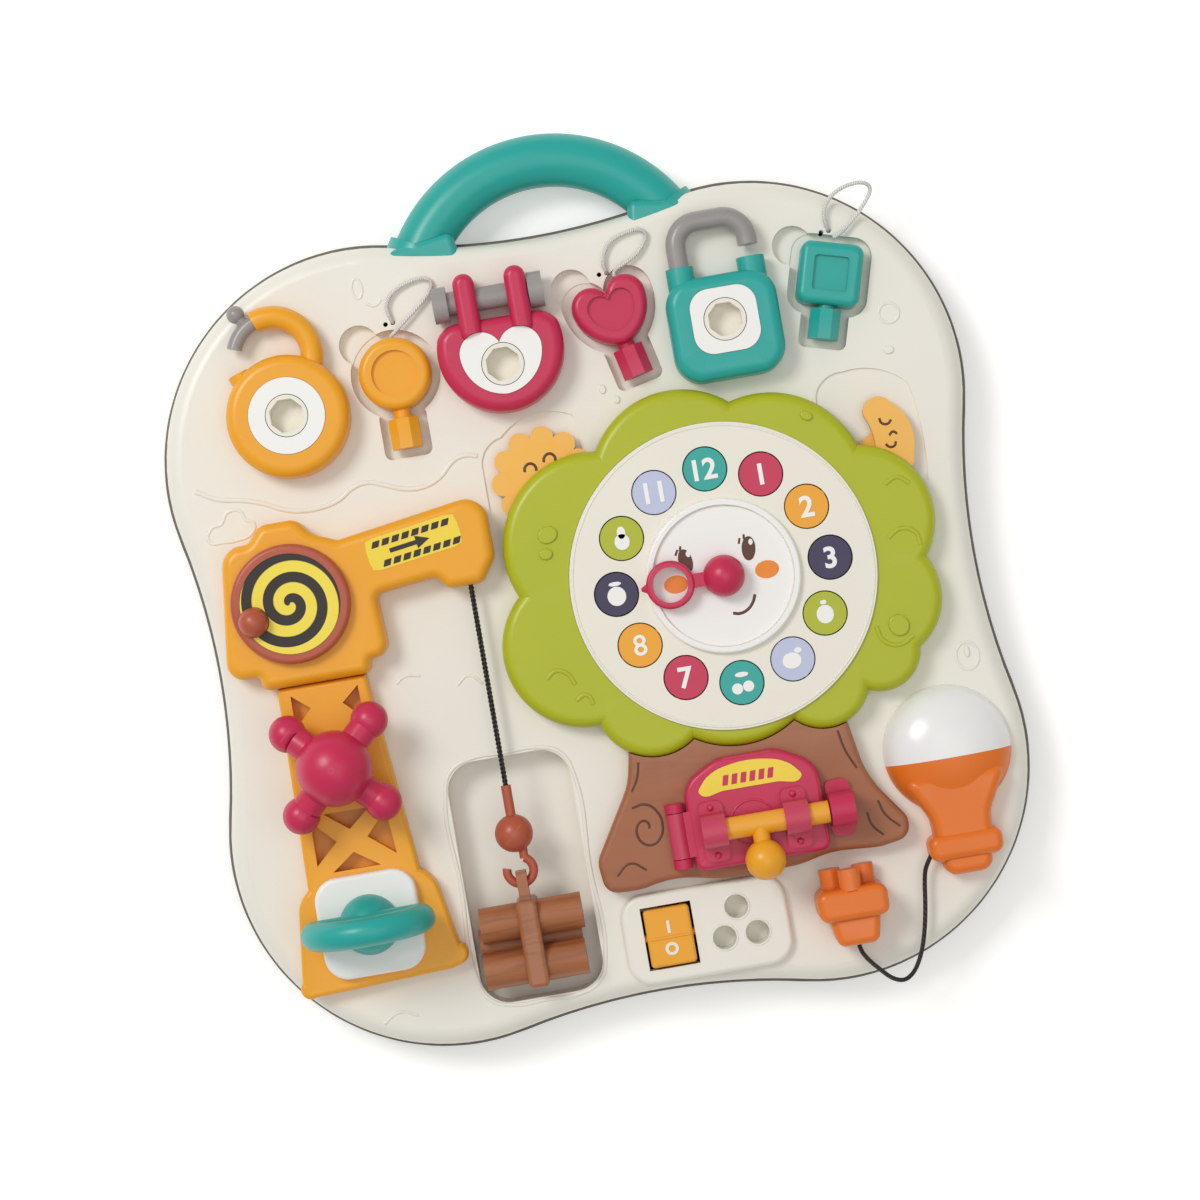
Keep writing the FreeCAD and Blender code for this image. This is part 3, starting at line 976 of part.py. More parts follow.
def make_trunk():
    outline = track((3.4, -54, 2), (0.4, -69.4, 30), (-16.8, -97.6, 8), (-15.4, -110.6, 6), (-1, -111.2, 30),
                    (12, -108.2, 40), (32, -112.6, 40), (62, -112.2, 40), (76, -109.0, 40), (95, -110.6, 20),
                    (107.6, -108.6, 6), (107.8, -100.5, 6), (94.6, -82.0, 40), (89.8, -54, 2))
    block = pad("trunk_block", [outline], "face_level", "trunk_height", "trunk_softness")
    under_crown = pad("trunk_crown_gap", [grown(crown_outline(), s.run_gap / 2)], "face_level - 1", 30)
    top = "face_level + trunk_height"
    niche = pad("door_niche", [rounded(NICHE_LEFT, NICHE_LOW, NICHE_RIGHT, NICHE_HIGH, 8.0)],
                top + " - niche_depth", 20)
    hinge_level = top + " + run_gap + hinge_barrel"
    ears = []
    for number, (low, high) in enumerate(((HINGE_LOW - 4.0, HINGE_LOW - 0.3), (HINGE_HIGH + 0.3, HINGE_HIGH + 3.8))):
        ears.append(along_y("hinge_ear_%d" % number, "door_hinge_x", low, high, hinge_level, "hinge_barrel"))
        ears.append(solid("Box", "hinge_ear_foot_%d" % number, ("door_hinge_x - hinge_barrel", low, top + " - 1"),
                          Length="2 * hinge_barrel", Width=high - low, Height="hinge_barrel + run_gap + 1"))
    pin_bore = along_y("hinge_pin_bore", "door_hinge_x", HINGE_LOW - 3.2, HINGE_HIGH + 2.9, hinge_level,
                       "hinge_pin_radius + shaft_gap")
    keeper = [pad("keeper_plate", [rounded(KEEPER_LEFT, -103.2, KEEPER_RIGHT, -80.8, 2.5)], top + " - 1", 3.4),
              along_x("keeper_barrel", KEEPER_LEFT, KEEPER_RIGHT, "bolt_y", "bolt_level", "bolt_radius + 2.2"),
              solid("Box", "keeper_block", (KEEPER_LEFT, "bolt_y - bolt_radius - 2.2", top),
                    Length=KEEPER_RIGHT - KEEPER_LEFT, Width="2 * (bolt_radius + 2.2)",
                    Height="bolt_level - face_level - trunk_height")]
    keeper_bore = along_x("keeper_bore", KEEPER_LEFT - 1, KEEPER_RIGHT + 1, "bolt_y", "bolt_level",
                          "bolt_radius + run_gap")
    keep("tree_trunk", cut("trunk", fuse("trunk_solid", cut("trunk_top", block, under_crown), *ears, *keeper),
                           niche, pin_bore, keeper_bore))
    keep("door_hinge_pin", along_y("hinge_pin", "door_hinge_x", HINGE_LOW - 3.2, HINGE_HIGH + 2.9, hinge_level,
                                   "hinge_pin_radius"))


def make_door():
    top = "face_level + trunk_height"
    low = top + " + run_gap"
    arch = 12.0
    left, right, bottom, high = s.door_left, s.door_right, s.door_bottom, s.door_top
    outline = track((left, bottom, 4), (right, bottom, 4), (right, high - 8, arch), (right - 15, high, 14),
                    (left + 15, high, 14), (left, high - 8, arch))
    leaf = pad("door_leaf", [outline], low, "door_thickness", 2.0)
    front = low + " + door_thickness"
    hinge_level = top + " + run_gap + hinge_barrel"
    pieces = [leaf, along_y("door_barrel", "door_hinge_x", HINGE_LOW, HINGE_HIGH, hinge_level, "hinge_barrel"),
              solid("Box", "door_knuckle", ("door_hinge_x", HINGE_LOW, low + " + 1.6"),
                    Length="door_left - door_hinge_x + 3", Width=HINGE_HIGH - HINGE_LOW, Height=4.2)]
    for number, (near, far) in enumerate(((25.9, 35.6), (58.8, 68.5))):
        pieces.append(pad("bracket_plate_%d" % number, [rounded(near, -104.4, far, -80.6, 2.5)], front + " - 1", 3.0))
        pieces.append(along_x("bracket_barrel_%d" % number, near, far, "bolt_y", "bolt_level", "bolt_radius + 2.2"))
        pieces.append(solid("Box", "bracket_block_%d" % number, (near, "bolt_y - bolt_radius - 2.2", front + " - 1"),
                            Length=far - near, Width="2 * (bolt_radius + 2.2)",
                            Height="bolt_level - face_level - trunk_height - run_gap - door_thickness + 1"))
        for level_y in (-83.0, -102.0):
            pieces.append(solid("Sphere", "rivet", ((near + far) / 2, level_y, front + " + 1.6"), Radius=1.5))
    bores = [along_x("bracket_bore", 20, 72, "bolt_y", "bolt_level", "bolt_radius + shaft_gap"),
             along_y("door_pin_bore", "door_hinge_x", HINGE_LOW - 1, HINGE_HIGH + 1, hinge_level,
                     "hinge_pin_radius + shaft_gap")]
    keep("door", cut("door_part", fuse("door_solid", *pieces), *bores))
    knob_x = 58.8 - s.bolt_stem_radius - s.bolt_travel - 0.3
    bar = solid("Cylinder", "bolt_bar", (29.0, "bolt_y", "bolt_level"), 90, V(0, 1, 0), Radius="bolt_radius",
                Height="bolt_end - 29")
    stem = solid("Cylinder", "bolt_stem", (knob_x, "bolt_y", "bolt_level + 0.8"), 90, V(1, 0, 0),
                 Radius="bolt_stem_radius", Height="bolt_knob_drop")
    knob = solid("Sphere", "bolt_knob", (knob_x, "bolt_y - bolt_knob_drop", "bolt_level + 2.6"),
                 Radius="bolt_knob_radius")
    keep("door_bolt", fuse("bolt", bar, stem, knob))


# Bulb, power rocker and plug

def make_bulb():
    dome = solid("Ellipsoid", "bulb_dome", ("bulb_x", "bulb_y", "face_level"), Radius1="bulb_rise",
                 Radius2="bulb_radius", Radius3="bulb_radius", Angle1=0)
    upper = solid("Box", "bulb_upper", ("bulb_x - bulb_radius - 1", "bulb_split", "face_level - 1"),
                  Length="2 * bulb_radius + 2", Width=60, Height=40)
    keep("bulb_diffuser", common("bulb_glass", dome, upper))
    x = s.bulb_x
    lower = cut("bulb_lower_dome", dome, upper)
    neck = pad("bulb_neck", [track((x - 21.4, -86, 3), (x + 21.4, -86, 3), (x + 12.0, -103.5, 12),
                                   (x + 11.4, -115, 3), (x - 11.4, -115, 3), (x - 12.0, -103.5, 12))],
               "face_level", "bulb_rise - 3", 4.0)
    collar = pad("bulb_collar", [rounded(x - 14.8, -120.4, x + 14.8, -110.0, 4.0)], "face_level",
                 "bulb_rise - 1.5", 3.4)
    tip = pad("bulb_tip", [rounded(x - 9.8, -126.7, x + 9.8, -116, 5.0)], "face_level", "bulb_rise - 4", 3.4)
    flex_bore = doc.addObject("Part::Cylinder", "flex_bore")
    bind(flex_bore, "Radius", "flex_radius + run_gap")
    bind(flex_bore, "Height", 7.2)
    way = V(*flex_route[-1]) - V(*flex_route[-2])
    flex_bore.Placement = FreeCAD.Placement(V(*flex_route[-2]), FreeCAD.Rotation(UP, way))
    return keep("bulb_base", cut("bulb_socket", fuse("bulb_socket_solid", lower, neck, collar, tip), flex_bore))


def make_power_rocker():
    half_x, half_y = s.rocker_half_width, s.rocker_half_length
    x, y = s.rocker_x, s.rocker_y
    cap = pad("rocker_cap", [rounded(x - half_x, y - half_y, x + half_x, y + half_y, 1.6)],
              "face_level - 1.0", "panel_height + 3.4", 1.2)
    pin = along_x("rocker_pin", "rocker_x - rocker_half_width - rocker_window_gap - 2",
                  "rocker_x + rocker_half_width + rocker_window_gap + 2", "rocker_y", "face_level + 1",
                  "rocker_axle")
    return keep("power_rocker", fuse("rocker", cap, pin))


def make_plug():
    x = s.plug_x
    spread = s.socket_pitch / 2
    rise = "plug_level + socket_pitch * 0.866"
    prongs = [solid("Cylinder", "prong_%d" % number, (x + side * spread, -124.5, level), -90, V(1, 0, 0),
                    Radius="plug_prong_radius", Height=8.5)
              for number, (side, level) in enumerate(((-1, "plug_level"), (1, "plug_level"), (0, rise)))]
    low = "plug_level - plug_prong_radius - 0.7"
    shoulder = pad("plug_shoulder", [rounded(x - 14, -136, x + 14, -123.4, 4.0)], low, 20.6, 3.0)
    grip = pad("plug_grip", [track((x - 10.5, -134, 1), (x + 10.5, -134, 1), (x + 8.0, -146.6, 3.5),
                                   (x - 8.0, -146.6, 3.5))], low + " + 1", 16.0, 3.0)
    return keep("plug", fuse("plug_part", *prongs, shoulder, grip))


make_front_shell()
make_back_shell()
make_case_screws()
make_battery_cover()
make_batteries()
make_circuit_board()
make_speaker()
make_carry_handle()
make_round_lock()
make_heart_lock()
make_square_lock()
make_lock_plates()
for key_name in keys:
    make_key(key_name)
for cord_name, route in tether_routes.items():
    keep(cord_name, tube(cord_name, route, s.tether_radius))
keep("plug_cord", tube("plug_cord", flex_route, s.flex_radius))
make_crane()
make_tower()
make_load()
make_cross_knob()
make_ring_knob()
make_crown()
make_dial()
make_sun_moon()
make_trunk()
make_door()
make_bulb()
make_power_rocker()
make_plug()
doc.recompute()

failed = [item.Name for item in doc.Objects if "Invalid" in item.State or "Error" in item.State]
if failed:
    raise ValueError("objects that did not build: " + ", ".join(failed))
for node, item in nodes.items():
    if item.Shape.isNull() or not item.Shape.isValid():
        raise ValueError("bad shape in " + node)

os.makedirs("parts", exist_ok=True)
for node, item in nodes.items():
    item.Shape.exportStep("parts/%s.step" % node)
print("%d nodes written" % len(nodes))
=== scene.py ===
import math

import bpy
from mathutils import Matrix, Vector


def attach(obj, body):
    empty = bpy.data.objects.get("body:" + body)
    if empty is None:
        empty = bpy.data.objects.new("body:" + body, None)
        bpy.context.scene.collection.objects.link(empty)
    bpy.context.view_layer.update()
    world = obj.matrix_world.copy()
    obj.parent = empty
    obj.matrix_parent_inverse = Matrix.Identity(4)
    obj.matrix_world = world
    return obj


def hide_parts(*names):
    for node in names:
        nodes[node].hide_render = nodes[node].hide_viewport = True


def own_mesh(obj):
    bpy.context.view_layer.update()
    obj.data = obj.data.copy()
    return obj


# Looks for a toddler's busy board: moulded skins, printed signs and numbers, raised ornaments and cords.
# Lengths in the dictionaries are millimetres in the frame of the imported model, unless a note says otherwise.
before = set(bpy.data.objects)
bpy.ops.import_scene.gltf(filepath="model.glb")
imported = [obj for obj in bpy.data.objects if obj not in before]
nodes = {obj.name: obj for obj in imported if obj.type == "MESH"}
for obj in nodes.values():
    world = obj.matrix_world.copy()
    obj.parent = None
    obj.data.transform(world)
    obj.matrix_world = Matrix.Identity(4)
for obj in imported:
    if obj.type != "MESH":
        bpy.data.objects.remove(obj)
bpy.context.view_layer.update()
mm = 0.001


# Colours as they are written on a paint card, turned into the values that the shader wants

def paint(code):
    parts = [int(code[i:i + 2], 16) / 255 for i in (1, 3, 5)]
    return [v / 12.92 if v < 0.04045 else ((v + 0.055) / 1.055) ** 2.4 for v in parts] + [1.0]


def nodeIn(tree, kind, **values):
    node = tree.nodes.new(kind)
    for name, value in values.items():
        setattr(node, name, value)
    return node


def mathNode(tree, operation, first, second=0.0):
    node = nodeIn(tree, "ShaderNodeMath", operation=operation)
    for socket, value in zip(node.inputs, (first, second)):
        if isinstance(value, (int, float)):
            socket.default_value = value
        else:
            tree.links.new(value, socket)
    return node.outputs[0]


mouldedLook = {"driftScale": 28.0, "driftDetail": 3.0, "grainDetail": 4.0, "edge": (0.52, 0.66),
               "wornColour": (1.0, 0.97, 0.9, 1.0), "glossSwing": 0.16}


def makeMouldedGroup(look):
    # tone drift over a part, fine speckle, paler worn edges, and a faint orange-peel height
    group = bpy.data.node_groups.new("mouldedSkin", "ShaderNodeTree")
    sockets = group.interface
    sockets.new_socket("Colour", in_out="INPUT", socket_type="NodeSocketColor")
    for name in ("Drift", "Grain", "Wear", "Gloss"):
        sockets.new_socket(name, in_out="INPUT", socket_type="NodeSocketFloat")
    sockets.new_socket("Colour", in_out="OUTPUT", socket_type="NodeSocketColor")
    for name in ("Roughness", "Height"):
        sockets.new_socket(name, in_out="OUTPUT", socket_type="NodeSocketFloat")
    given = group.nodes.new("NodeGroupInput")
    result = group.nodes.new("NodeGroupOutput")
    place = group.nodes.new("ShaderNodeTexCoord")
    broad = nodeIn(group, "ShaderNodeTexNoise")
    broad.inputs["Scale"].default_value = look["driftScale"]
    broad.inputs["Detail"].default_value = look["driftDetail"]
    fine = nodeIn(group, "ShaderNodeTexNoise")
    fine.inputs["Detail"].default_value = look["grainDetail"]
    group.links.new(place.outputs["Object"], broad.inputs["Vector"])
    group.links.new(place.outputs["Object"], fine.inputs["Vector"])
    group.links.new(given.outputs["Grain"], fine.inputs["Scale"])
    broadCentred = mathNode(group, "SUBTRACT", broad.outputs["Fac"], 0.5)
    fineCentred = mathNode(group, "SUBTRACT", fine.outputs["Fac"], 0.5)
    halfDrift = mathNode(group, "MULTIPLY", given.outputs["Drift"], 0.5)
    broadShift = mathNode(group, "MULTIPLY", broadCentred, given.outputs["Drift"])
    fineShift = mathNode(group, "MULTIPLY", fineCentred, halfDrift)
    shift = mathNode(group, "ADD", broadShift, fineShift)
    tone = nodeIn(group, "ShaderNodeHueSaturation")
    group.links.new(given.outputs["Colour"], tone.inputs["Color"])
    group.links.new(mathNode(group, "ADD", shift, 1.0), tone.inputs["Value"])
    shape = group.nodes.new("ShaderNodeNewGeometry")
    edge = nodeIn(group, "ShaderNodeMapRange")
    edge.inputs["From Min"].default_value = look["edge"][0]
    edge.inputs["From Max"].default_value = look["edge"][1]
    group.links.new(shape.outputs["Pointiness"], edge.inputs["Value"])
    worn = mathNode(group, "MULTIPLY", edge.outputs[0], given.outputs["Wear"])
    paler = nodeIn(group, "ShaderNodeMix", data_type="RGBA")
    group.links.new(worn, paler.inputs[0])
    group.links.new(tone.outputs["Color"], paler.inputs[6])
    paler.inputs[7].default_value = look["wornColour"]
    group.links.new(paler.outputs[2], result.inputs["Colour"])
    glossShift = mathNode(group, "MULTIPLY", fineCentred, look["glossSwing"])
    rough = mathNode(group, "ADD", given.outputs["Gloss"], glossShift)
    group.links.new(rough, result.inputs["Roughness"])
    group.links.new(fine.outputs["Fac"], result.inputs["Height"])
    return group


moulded = makeMouldedGroup(mouldedLook)


def startMaterial(name):
    material = bpy.data.materials.new(name)
    material.use_nodes = True
    return material, material.node_tree, material.node_tree.nodes["Principled BSDF"]


surface = {"grain": 900.0, "reliefStrength": 0.5, "coatRoughness": 0.25, "specular": 0.45,
           "scatter": (0.004, 0.003, 0.002)}


def skin(name, code, gloss=0.38, drift=0.07, wear=0.04, coat=0.15, bump=0.00003, glow=0.0):
    material, tree, shader = startMaterial(name)
    cover = nodeIn(tree, "ShaderNodeGroup", node_tree=moulded)
    cover.inputs["Colour"].default_value = paint(code)
    cover.inputs["Drift"].default_value = drift
    cover.inputs["Grain"].default_value = surface["grain"]
    cover.inputs["Wear"].default_value = wear
    cover.inputs["Gloss"].default_value = gloss
    relief = nodeIn(tree, "ShaderNodeBump")
    relief.inputs["Strength"].default_value = surface["reliefStrength"]
    relief.inputs["Distance"].default_value = bump
    tree.links.new(cover.outputs["Colour"], shader.inputs["Base Color"])
    tree.links.new(cover.outputs["Roughness"], shader.inputs["Roughness"])
    tree.links.new(cover.outputs["Height"], relief.inputs["Height"])
    tree.links.new(relief.outputs["Normal"], shader.inputs["Normal"])
    shader.inputs["Coat Weight"].default_value = coat
    shader.inputs["Coat Roughness"].default_value = surface["coatRoughness"]
    shader.inputs["Specular IOR Level"].default_value = surface["specular"]
    if glow:
        shader.inputs["Subsurface Weight"].default_value = glow
        shader.inputs["Subsurface Radius"].default_value = surface["scatter"]
    return material


def objectAxes(tree):
    place = tree.nodes.new("ShaderNodeTexCoord")
    axes = tree.nodes.new("ShaderNodeSeparateXYZ")
    tree.links.new(place.outputs["Object"], axes.inputs["Vector"])
    return axes.outputs


def paintOver(material, mask, code):
    # a second colour over the skin, as far as the mask lets it through
    tree = material.node_tree
    shader = tree.nodes["Principled BSDF"]
    blend = nodeIn(tree, "ShaderNodeMix", data_type="RGBA")
    tree.links.new(mask, blend.inputs[0])
    tree.links.new(shader.inputs["Base Color"].links[0].from_socket, blend.inputs[6])
    blend.inputs[7].default_value = paint(code)
    tree.links.new(blend.outputs[2], shader.inputs["Base Color"])


streaks = {"scale": 30.0, "detail": 5.0, "distortion": 0.6, "edge": (0.48, 0.66), "gloss": 0.46, "drift": 0.14,
           "relief": 0.00012}


def streaked(name, code, darkCode, across, turn, strength):
    # moulded wood effect: long streaks with a darker line here and there
    material = skin(name, code, gloss=streaks["gloss"], drift=streaks["drift"], bump=streaks["relief"])
    tree = material.node_tree
    place = tree.nodes.new("ShaderNodeTexCoord")
    lay = tree.nodes.new("ShaderNodeMapping")
    lay.inputs["Rotation"].default_value = (0, 0, math.radians(turn))
    lay.inputs["Scale"].default_value = (1.0, across, across)
    grain = nodeIn(tree, "ShaderNodeTexNoise")
    grain.inputs["Scale"].default_value = streaks["scale"]
    grain.inputs["Detail"].default_value = streaks["detail"]
    grain.inputs["Distortion"].default_value = streaks["distortion"]
    ramp = nodeIn(tree, "ShaderNodeMapRange")
    ramp.inputs["From Min"].default_value = streaks["edge"][0]
    ramp.inputs["From Max"].default_value = streaks["edge"][1]
    ramp.inputs["To Max"].default_value = strength
    tree.links.new(place.outputs["Object"], lay.inputs["Vector"])
    tree.links.new(lay.outputs["Vector"], grain.inputs["Vector"])
    tree.links.new(grain.outputs["Fac"], ramp.inputs["Value"])
    paintOver(material, ramp.outputs[0], darkCode)
    return material


spiral = {"centre": (-118.5, 24.5), "pitch": 8.6, "start": 1.3, "edge": (0.49, 0.53), "light": "#F4DD3A",
          "dark": "#231A12"}


def spiralPrint(name, plan):
    # two-colour spiral about the crank's centre, read from object coordinates
    material = skin(name, plan["light"], gloss=0.3, drift=0.04)
    tree = material.node_tree
    axes = objectAxes(tree)
    across = mathNode(tree, "SUBTRACT", axes[0], plan["centre"][0] * mm)
    upward = mathNode(tree, "SUBTRACT", axes[1], plan["centre"][1] * mm)
    acrossSquared = mathNode(tree, "MULTIPLY", across, across)
    upwardSquared = mathNode(tree, "MULTIPLY", upward, upward)
    reach = mathNode(tree, "SQRT", mathNode(tree, "ADD", acrossSquared, upwardSquared))
    turn = mathNode(tree, "DIVIDE", mathNode(tree, "ARCTAN2", upward, across), 2 * math.pi)
    outward = mathNode(tree, "DIVIDE", reach, plan["pitch"] * mm)
    started = mathNode(tree, "ADD", turn, plan["start"])
    stripe = mathNode(tree, "FRACT", mathNode(tree, "ADD", outward, started))
    band = nodeIn(tree, "ShaderNodeMapRange")
    band.inputs["From Min"].default_value = plan["edge"][0]
    band.inputs["From Max"].default_value = plan["edge"][1]
    tree.links.new(stripe, band.inputs["Value"])
    paintOver(material, band.outputs[0], plan["dark"])
    return material


twineLook = {"bandsRound": 2.0, "relief": 0.0003}


def twine(name, code, darkCode, turns, gloss):
    # plaited or twisted cord: slanting bands on the cord's own map, the darker colour of each band being
    # painted shade in the groove between strands
    material, tree, shader = startMaterial(name)
    place = tree.nodes.new("ShaderNodeTexCoord")
    lay = tree.nodes.new("ShaderNodeMapping")
    lay.inputs["Scale"].default_value = (turns, twineLook["bandsRound"], 1.0)
    axes = tree.nodes.new("ShaderNodeSeparateXYZ")
    tree.links.new(place.outputs["UV"], lay.inputs["Vector"])
    tree.links.new(lay.outputs["Vector"], axes.inputs["Vector"])
    along = mathNode(tree, "ADD", axes.outputs[0], axes.outputs[1])
    wave = mathNode(tree, "SINE", mathNode(tree, "MULTIPLY", along, 2 * math.pi))
    strand = mathNode(tree, "ADD", mathNode(tree, "MULTIPLY", wave, 0.5), 0.5)
    # the darker colour goes where the bump is low: painted shade in the grooves between strands
    blend = nodeIn(tree, "ShaderNodeMix", data_type="RGBA")
    tree.links.new(strand, blend.inputs[0])
    blend.inputs[6].default_value = paint(darkCode)
    blend.inputs[7].default_value = paint(code)
    relief = nodeIn(tree, "ShaderNodeBump")
    relief.inputs["Distance"].default_value = twineLook["relief"]
    tree.links.new(strand, relief.inputs["Height"])
    tree.links.new(blend.outputs[2], shader.inputs["Base Color"])
    tree.links.new(relief.outputs["Normal"], shader.inputs["Normal"])
    shader.inputs["Roughness"].default_value = gloss
    return material


def fittingsOn(material, code, boxes):
    # a second colour inside boxes of low x, high x, low y, high y and low z
    tree = material.node_tree
    axes = objectAxes(tree)
    total = None
    for lowX, highX, lowY, highY, lowZ in boxes:
        inside = mathNode(tree, "GREATER_THAN", axes[0], lowX * mm)
        for axis, operation, limit in ((0, "LESS_THAN", highX), (1, "GREATER_THAN", lowY),
                                       (1, "LESS_THAN", highY), (2, "GREATER_THAN", lowZ)):
            side = mathNode(tree, operation, axes[axis], limit * mm)
            inside = mathNode(tree, "MULTIPLY", inside, side)
        total = inside if total is None else mathNode(tree, "MAXIMUM", total, inside)
    paintOver(material, total, code)


print("finishes")
finishes = {
    "cream": skin("creamShell", "#EFEBDF", gloss=0.36, drift=0.03, wear=0.0),
    "taupe": skin("taupeRim", "#6F695F", gloss=0.45, wear=0.0),
    "teal": skin("tealPlastic", "#1FA79D"),
    "amber": skin("amberPlastic", "#F2A71C"),
    "crimson": skin("crimsonPlastic", "#C92450"),
    "lime": skin("limePlastic", "#B2B914", wear=0.05),
    "ivory": skin("ivoryPlastic", "#EFEADB", wear=0.0, drift=0.03),
    "white": skin("whitePlastic", "#F6F4EF", wear=0.0, drift=0.02),
    "grey": skin("greyPlastic", "#9A9490", gloss=0.3),
    "terracotta": skin("terracottaPlastic", "#B4553A"),
    "trunk": streaked("trunkBrown", "#A5653F", "#8A5034", 5.0, 90.0, 0.22),
    "logs": streaked("logBrown", "#A8663C", "#7C4526", 9.0, 0.0, 0.5),
    "orange": skin("orangePlastic", "#EA761C"),
    "glassy": skin("frostedDiffuser", "#F4F3F0", gloss=0.24, drift=0.01, wear=0.0, coat=0.4, glow=0.3),
    "purple": skin("purplePlastic", "#30254C"),
    "lilac": skin("lilacPlastic", "#BFC6E0"),
    "ochre": skin("ochrePlastic", "#E39A22"),
    "seam": skin("seamTaupe", "#6F685D", gloss=0.5, wear=0.0),
    "spiral": spiralPrint("spiralPrint", spiral),
    "sunny": skin("sunPlastic", "#F6B84A", gloss=0.42),
    "ink": skin("blackInk", "#2A2019", gloss=0.5, wear=0.0),
    "brownInk": skin("brownInk", "#5A3322", gloss=0.45, wear=0.0),
    "label": skin("labelYellow", "#F5D73E", gloss=0.34, wear=0.0),
    "cheek": skin("cheekOrange", "#F08A24", gloss=0.4, wear=0.0),
    "steel": skin("screwSteel", "#A9A9A6", gloss=0.3),
    "board": skin("circuitGreen", "#1E6B43", gloss=0.4),
    "dark": skin("darkPlastic", "#262626", gloss=0.5),
    # the second colour of each cord is painted shade for the grooves between its strands
    "whiteTwine": twine("whiteTwine", "#FAF9F5", "#DEDBD2", 70.0, 0.7),
    "blackTwine": twine("blackTwine", "#3A332E", "#0F0C0A", 60.0, 0.55),
}
trunkFittings = {"code": "#C92450", "keeper": (76.0, 88.0, -105.0, -79.0, 38.3),
                 "hinge": (12.0, 21.2, -107.0, -78.0, 38.1)}
fittingsOn(finishes["trunk"], trunkFittings["code"], [trunkFittings["keeper"], trunkFittings["hinge"]])

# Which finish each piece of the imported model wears
wearing = {
    "cream": ["front_shell"], "taupe": ["back_shell", "battery_cover"],
    "teal": ["carry_handle", "square_lock_body", "square_key", "ring_knob", "number_disc_12",
             "number_disc_06"],
    "amber": ["round_lock_body", "round_key", "crane_head", "crane_tower", "door_bolt", "power_rocker",
              "number_disc_02", "number_disc_08"],
    "crimson": ["heart_lock_body", "heart_key", "cross_knob", "pointer", "door", "number_disc_01",
                "number_disc_07"],
    "lime": ["tree_crown", "number_disc_04", "number_disc_10"],
    "ivory": ["dial_ring", "round_lock_core", "heart_lock_core", "square_lock_core"],
    "white": ["lock_plates", "ring_knob_base", "face_plate"],
    "grey": ["round_lock_bolt", "heart_lock_bolt", "square_lock_shackle"],
    "terracotta": ["crank_wheel", "hoist_hook"], "trunk": ["tree_trunk"], "logs": ["log_bundle"],
    "orange": ["bulb_base", "plug"], "glassy": ["bulb_diffuser"], "spiral": ["spiral_disc"],
    "purple": ["number_disc_03", "number_disc_09"], "lilac": ["number_disc_05", "number_disc_11"],
    "sunny": ["sun_moon_rocker"], "steel": ["case_screws", "door_hinge_pin"], "board": ["circuit_board"],
    "dark": ["speaker", "batteries"], "whiteTwine": ["round_key_cord", "heart_key_cord", "square_key_cord"],
    "blackTwine": ["plug_cord", "lifting_string"],
}
for finish, names in wearing.items():
    for name in names:
        nodes[name].data.materials.clear()
        nodes[name].data.materials.append(finishes[finish])


# Modelling helpers, and how finely each kind of curve is divided along and round it

fineness = {"outline": 12, "outlineRound": 2, "bead": 10, "beadRound": 3, "cord": 10, "cordRound": 4,
            "strand": 3, "strandRound": 2}
thinnest = 0.00001  # metres, the least half thickness of an outline


def startClean():
    if bpy.context.object and bpy.context.object.mode != "OBJECT":
        bpy.ops.object.mode_set(mode="OBJECT")
    bpy.ops.object.select_all(action="DESELECT")


def settle(piece, name, finish, body="root"):
    # bakes the place into the mesh, then names, paints and hangs the piece on its body
    bpy.ops.object.transform_apply(location=True, rotation=True, scale=True)
    piece.name = name
    piece.data.name = name
    piece.data.materials.clear()
    piece.data.materials.append(finishes[finish])
    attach(piece, body)
    return piece


def linked(name, data):
    holder = bpy.data.objects.new(name, data)
    bpy.context.collection.objects.link(holder)
    return holder


def smoothRun(curve, points, closed=False):
    # points with two numbers lie at z 0
    spline = curve.splines.new("BEZIER")
    spline.bezier_points.add(len(points) - 1)
    for knot, point in zip(spline.bezier_points, points):
        knot.co = [value * mm for value in (*point, 0)[:3]]
        knot.handle_left_type = "AUTO"
        knot.handle_right_type = "AUTO"
    spline.use_cyclic_u = closed


def flatCurve(outline, height, softness):
    # a filled flat curve with a rounded edge, its middle at z 0, with height and softness in metres
    curve = bpy.data.curves.new("outline", "CURVE")
    curve.dimensions = "2D"
    curve.fill_mode = "BOTH"
    curve.resolution_u = fineness["outline"]
    curve.extrude = max(height / 2 - softness, thinnest)
    curve.bevel_depth = softness
    curve.bevel_resolution = fineness["outlineRound"]
    curve.offset = -softness
    smoothRun(curve, outline, True)
    return linked("outline", curve)


def meshFrom(piece):
    startClean()
    piece.select_set(True)
    bpy.context.view_layer.objects.active = piece
    bpy.ops.object.convert(target="MESH")
    return bpy.context.object


def oval(x, y, wide, tall, turn=0.0, count=10):
    points = []
    turned = Matrix.Rotation(math.radians(turn), 2)
    for number in range(count):
        angle = 2 * math.pi * number / count
        spot = turned @ Vector((wide / 2 * math.cos(angle), tall / 2 * math.sin(angle)))
        points.append((x + spot[0], y + spot[1]))
    return points


def patch(name, outlines, level, height, finish, body="root", softness=0.1):
    # thin raised shapes, made one by one and joined, with their base at the level
    shapes = [meshFrom(flatCurve(outline, height * mm, softness * mm)) for outline in outlines]
    startClean()
    for shape in shapes:
        shape.select_set(True)
    piece = shapes[0]
    bpy.context.view_layer.objects.active = piece
    if len(shapes) > 1:
        bpy.ops.object.join()
    piece.location = (0, 0, (level + height / 2) * mm)
    return settle(piece, name, finish, body)


cornerCut = {"mostOfSide": 0.45, "inward": 0.18}


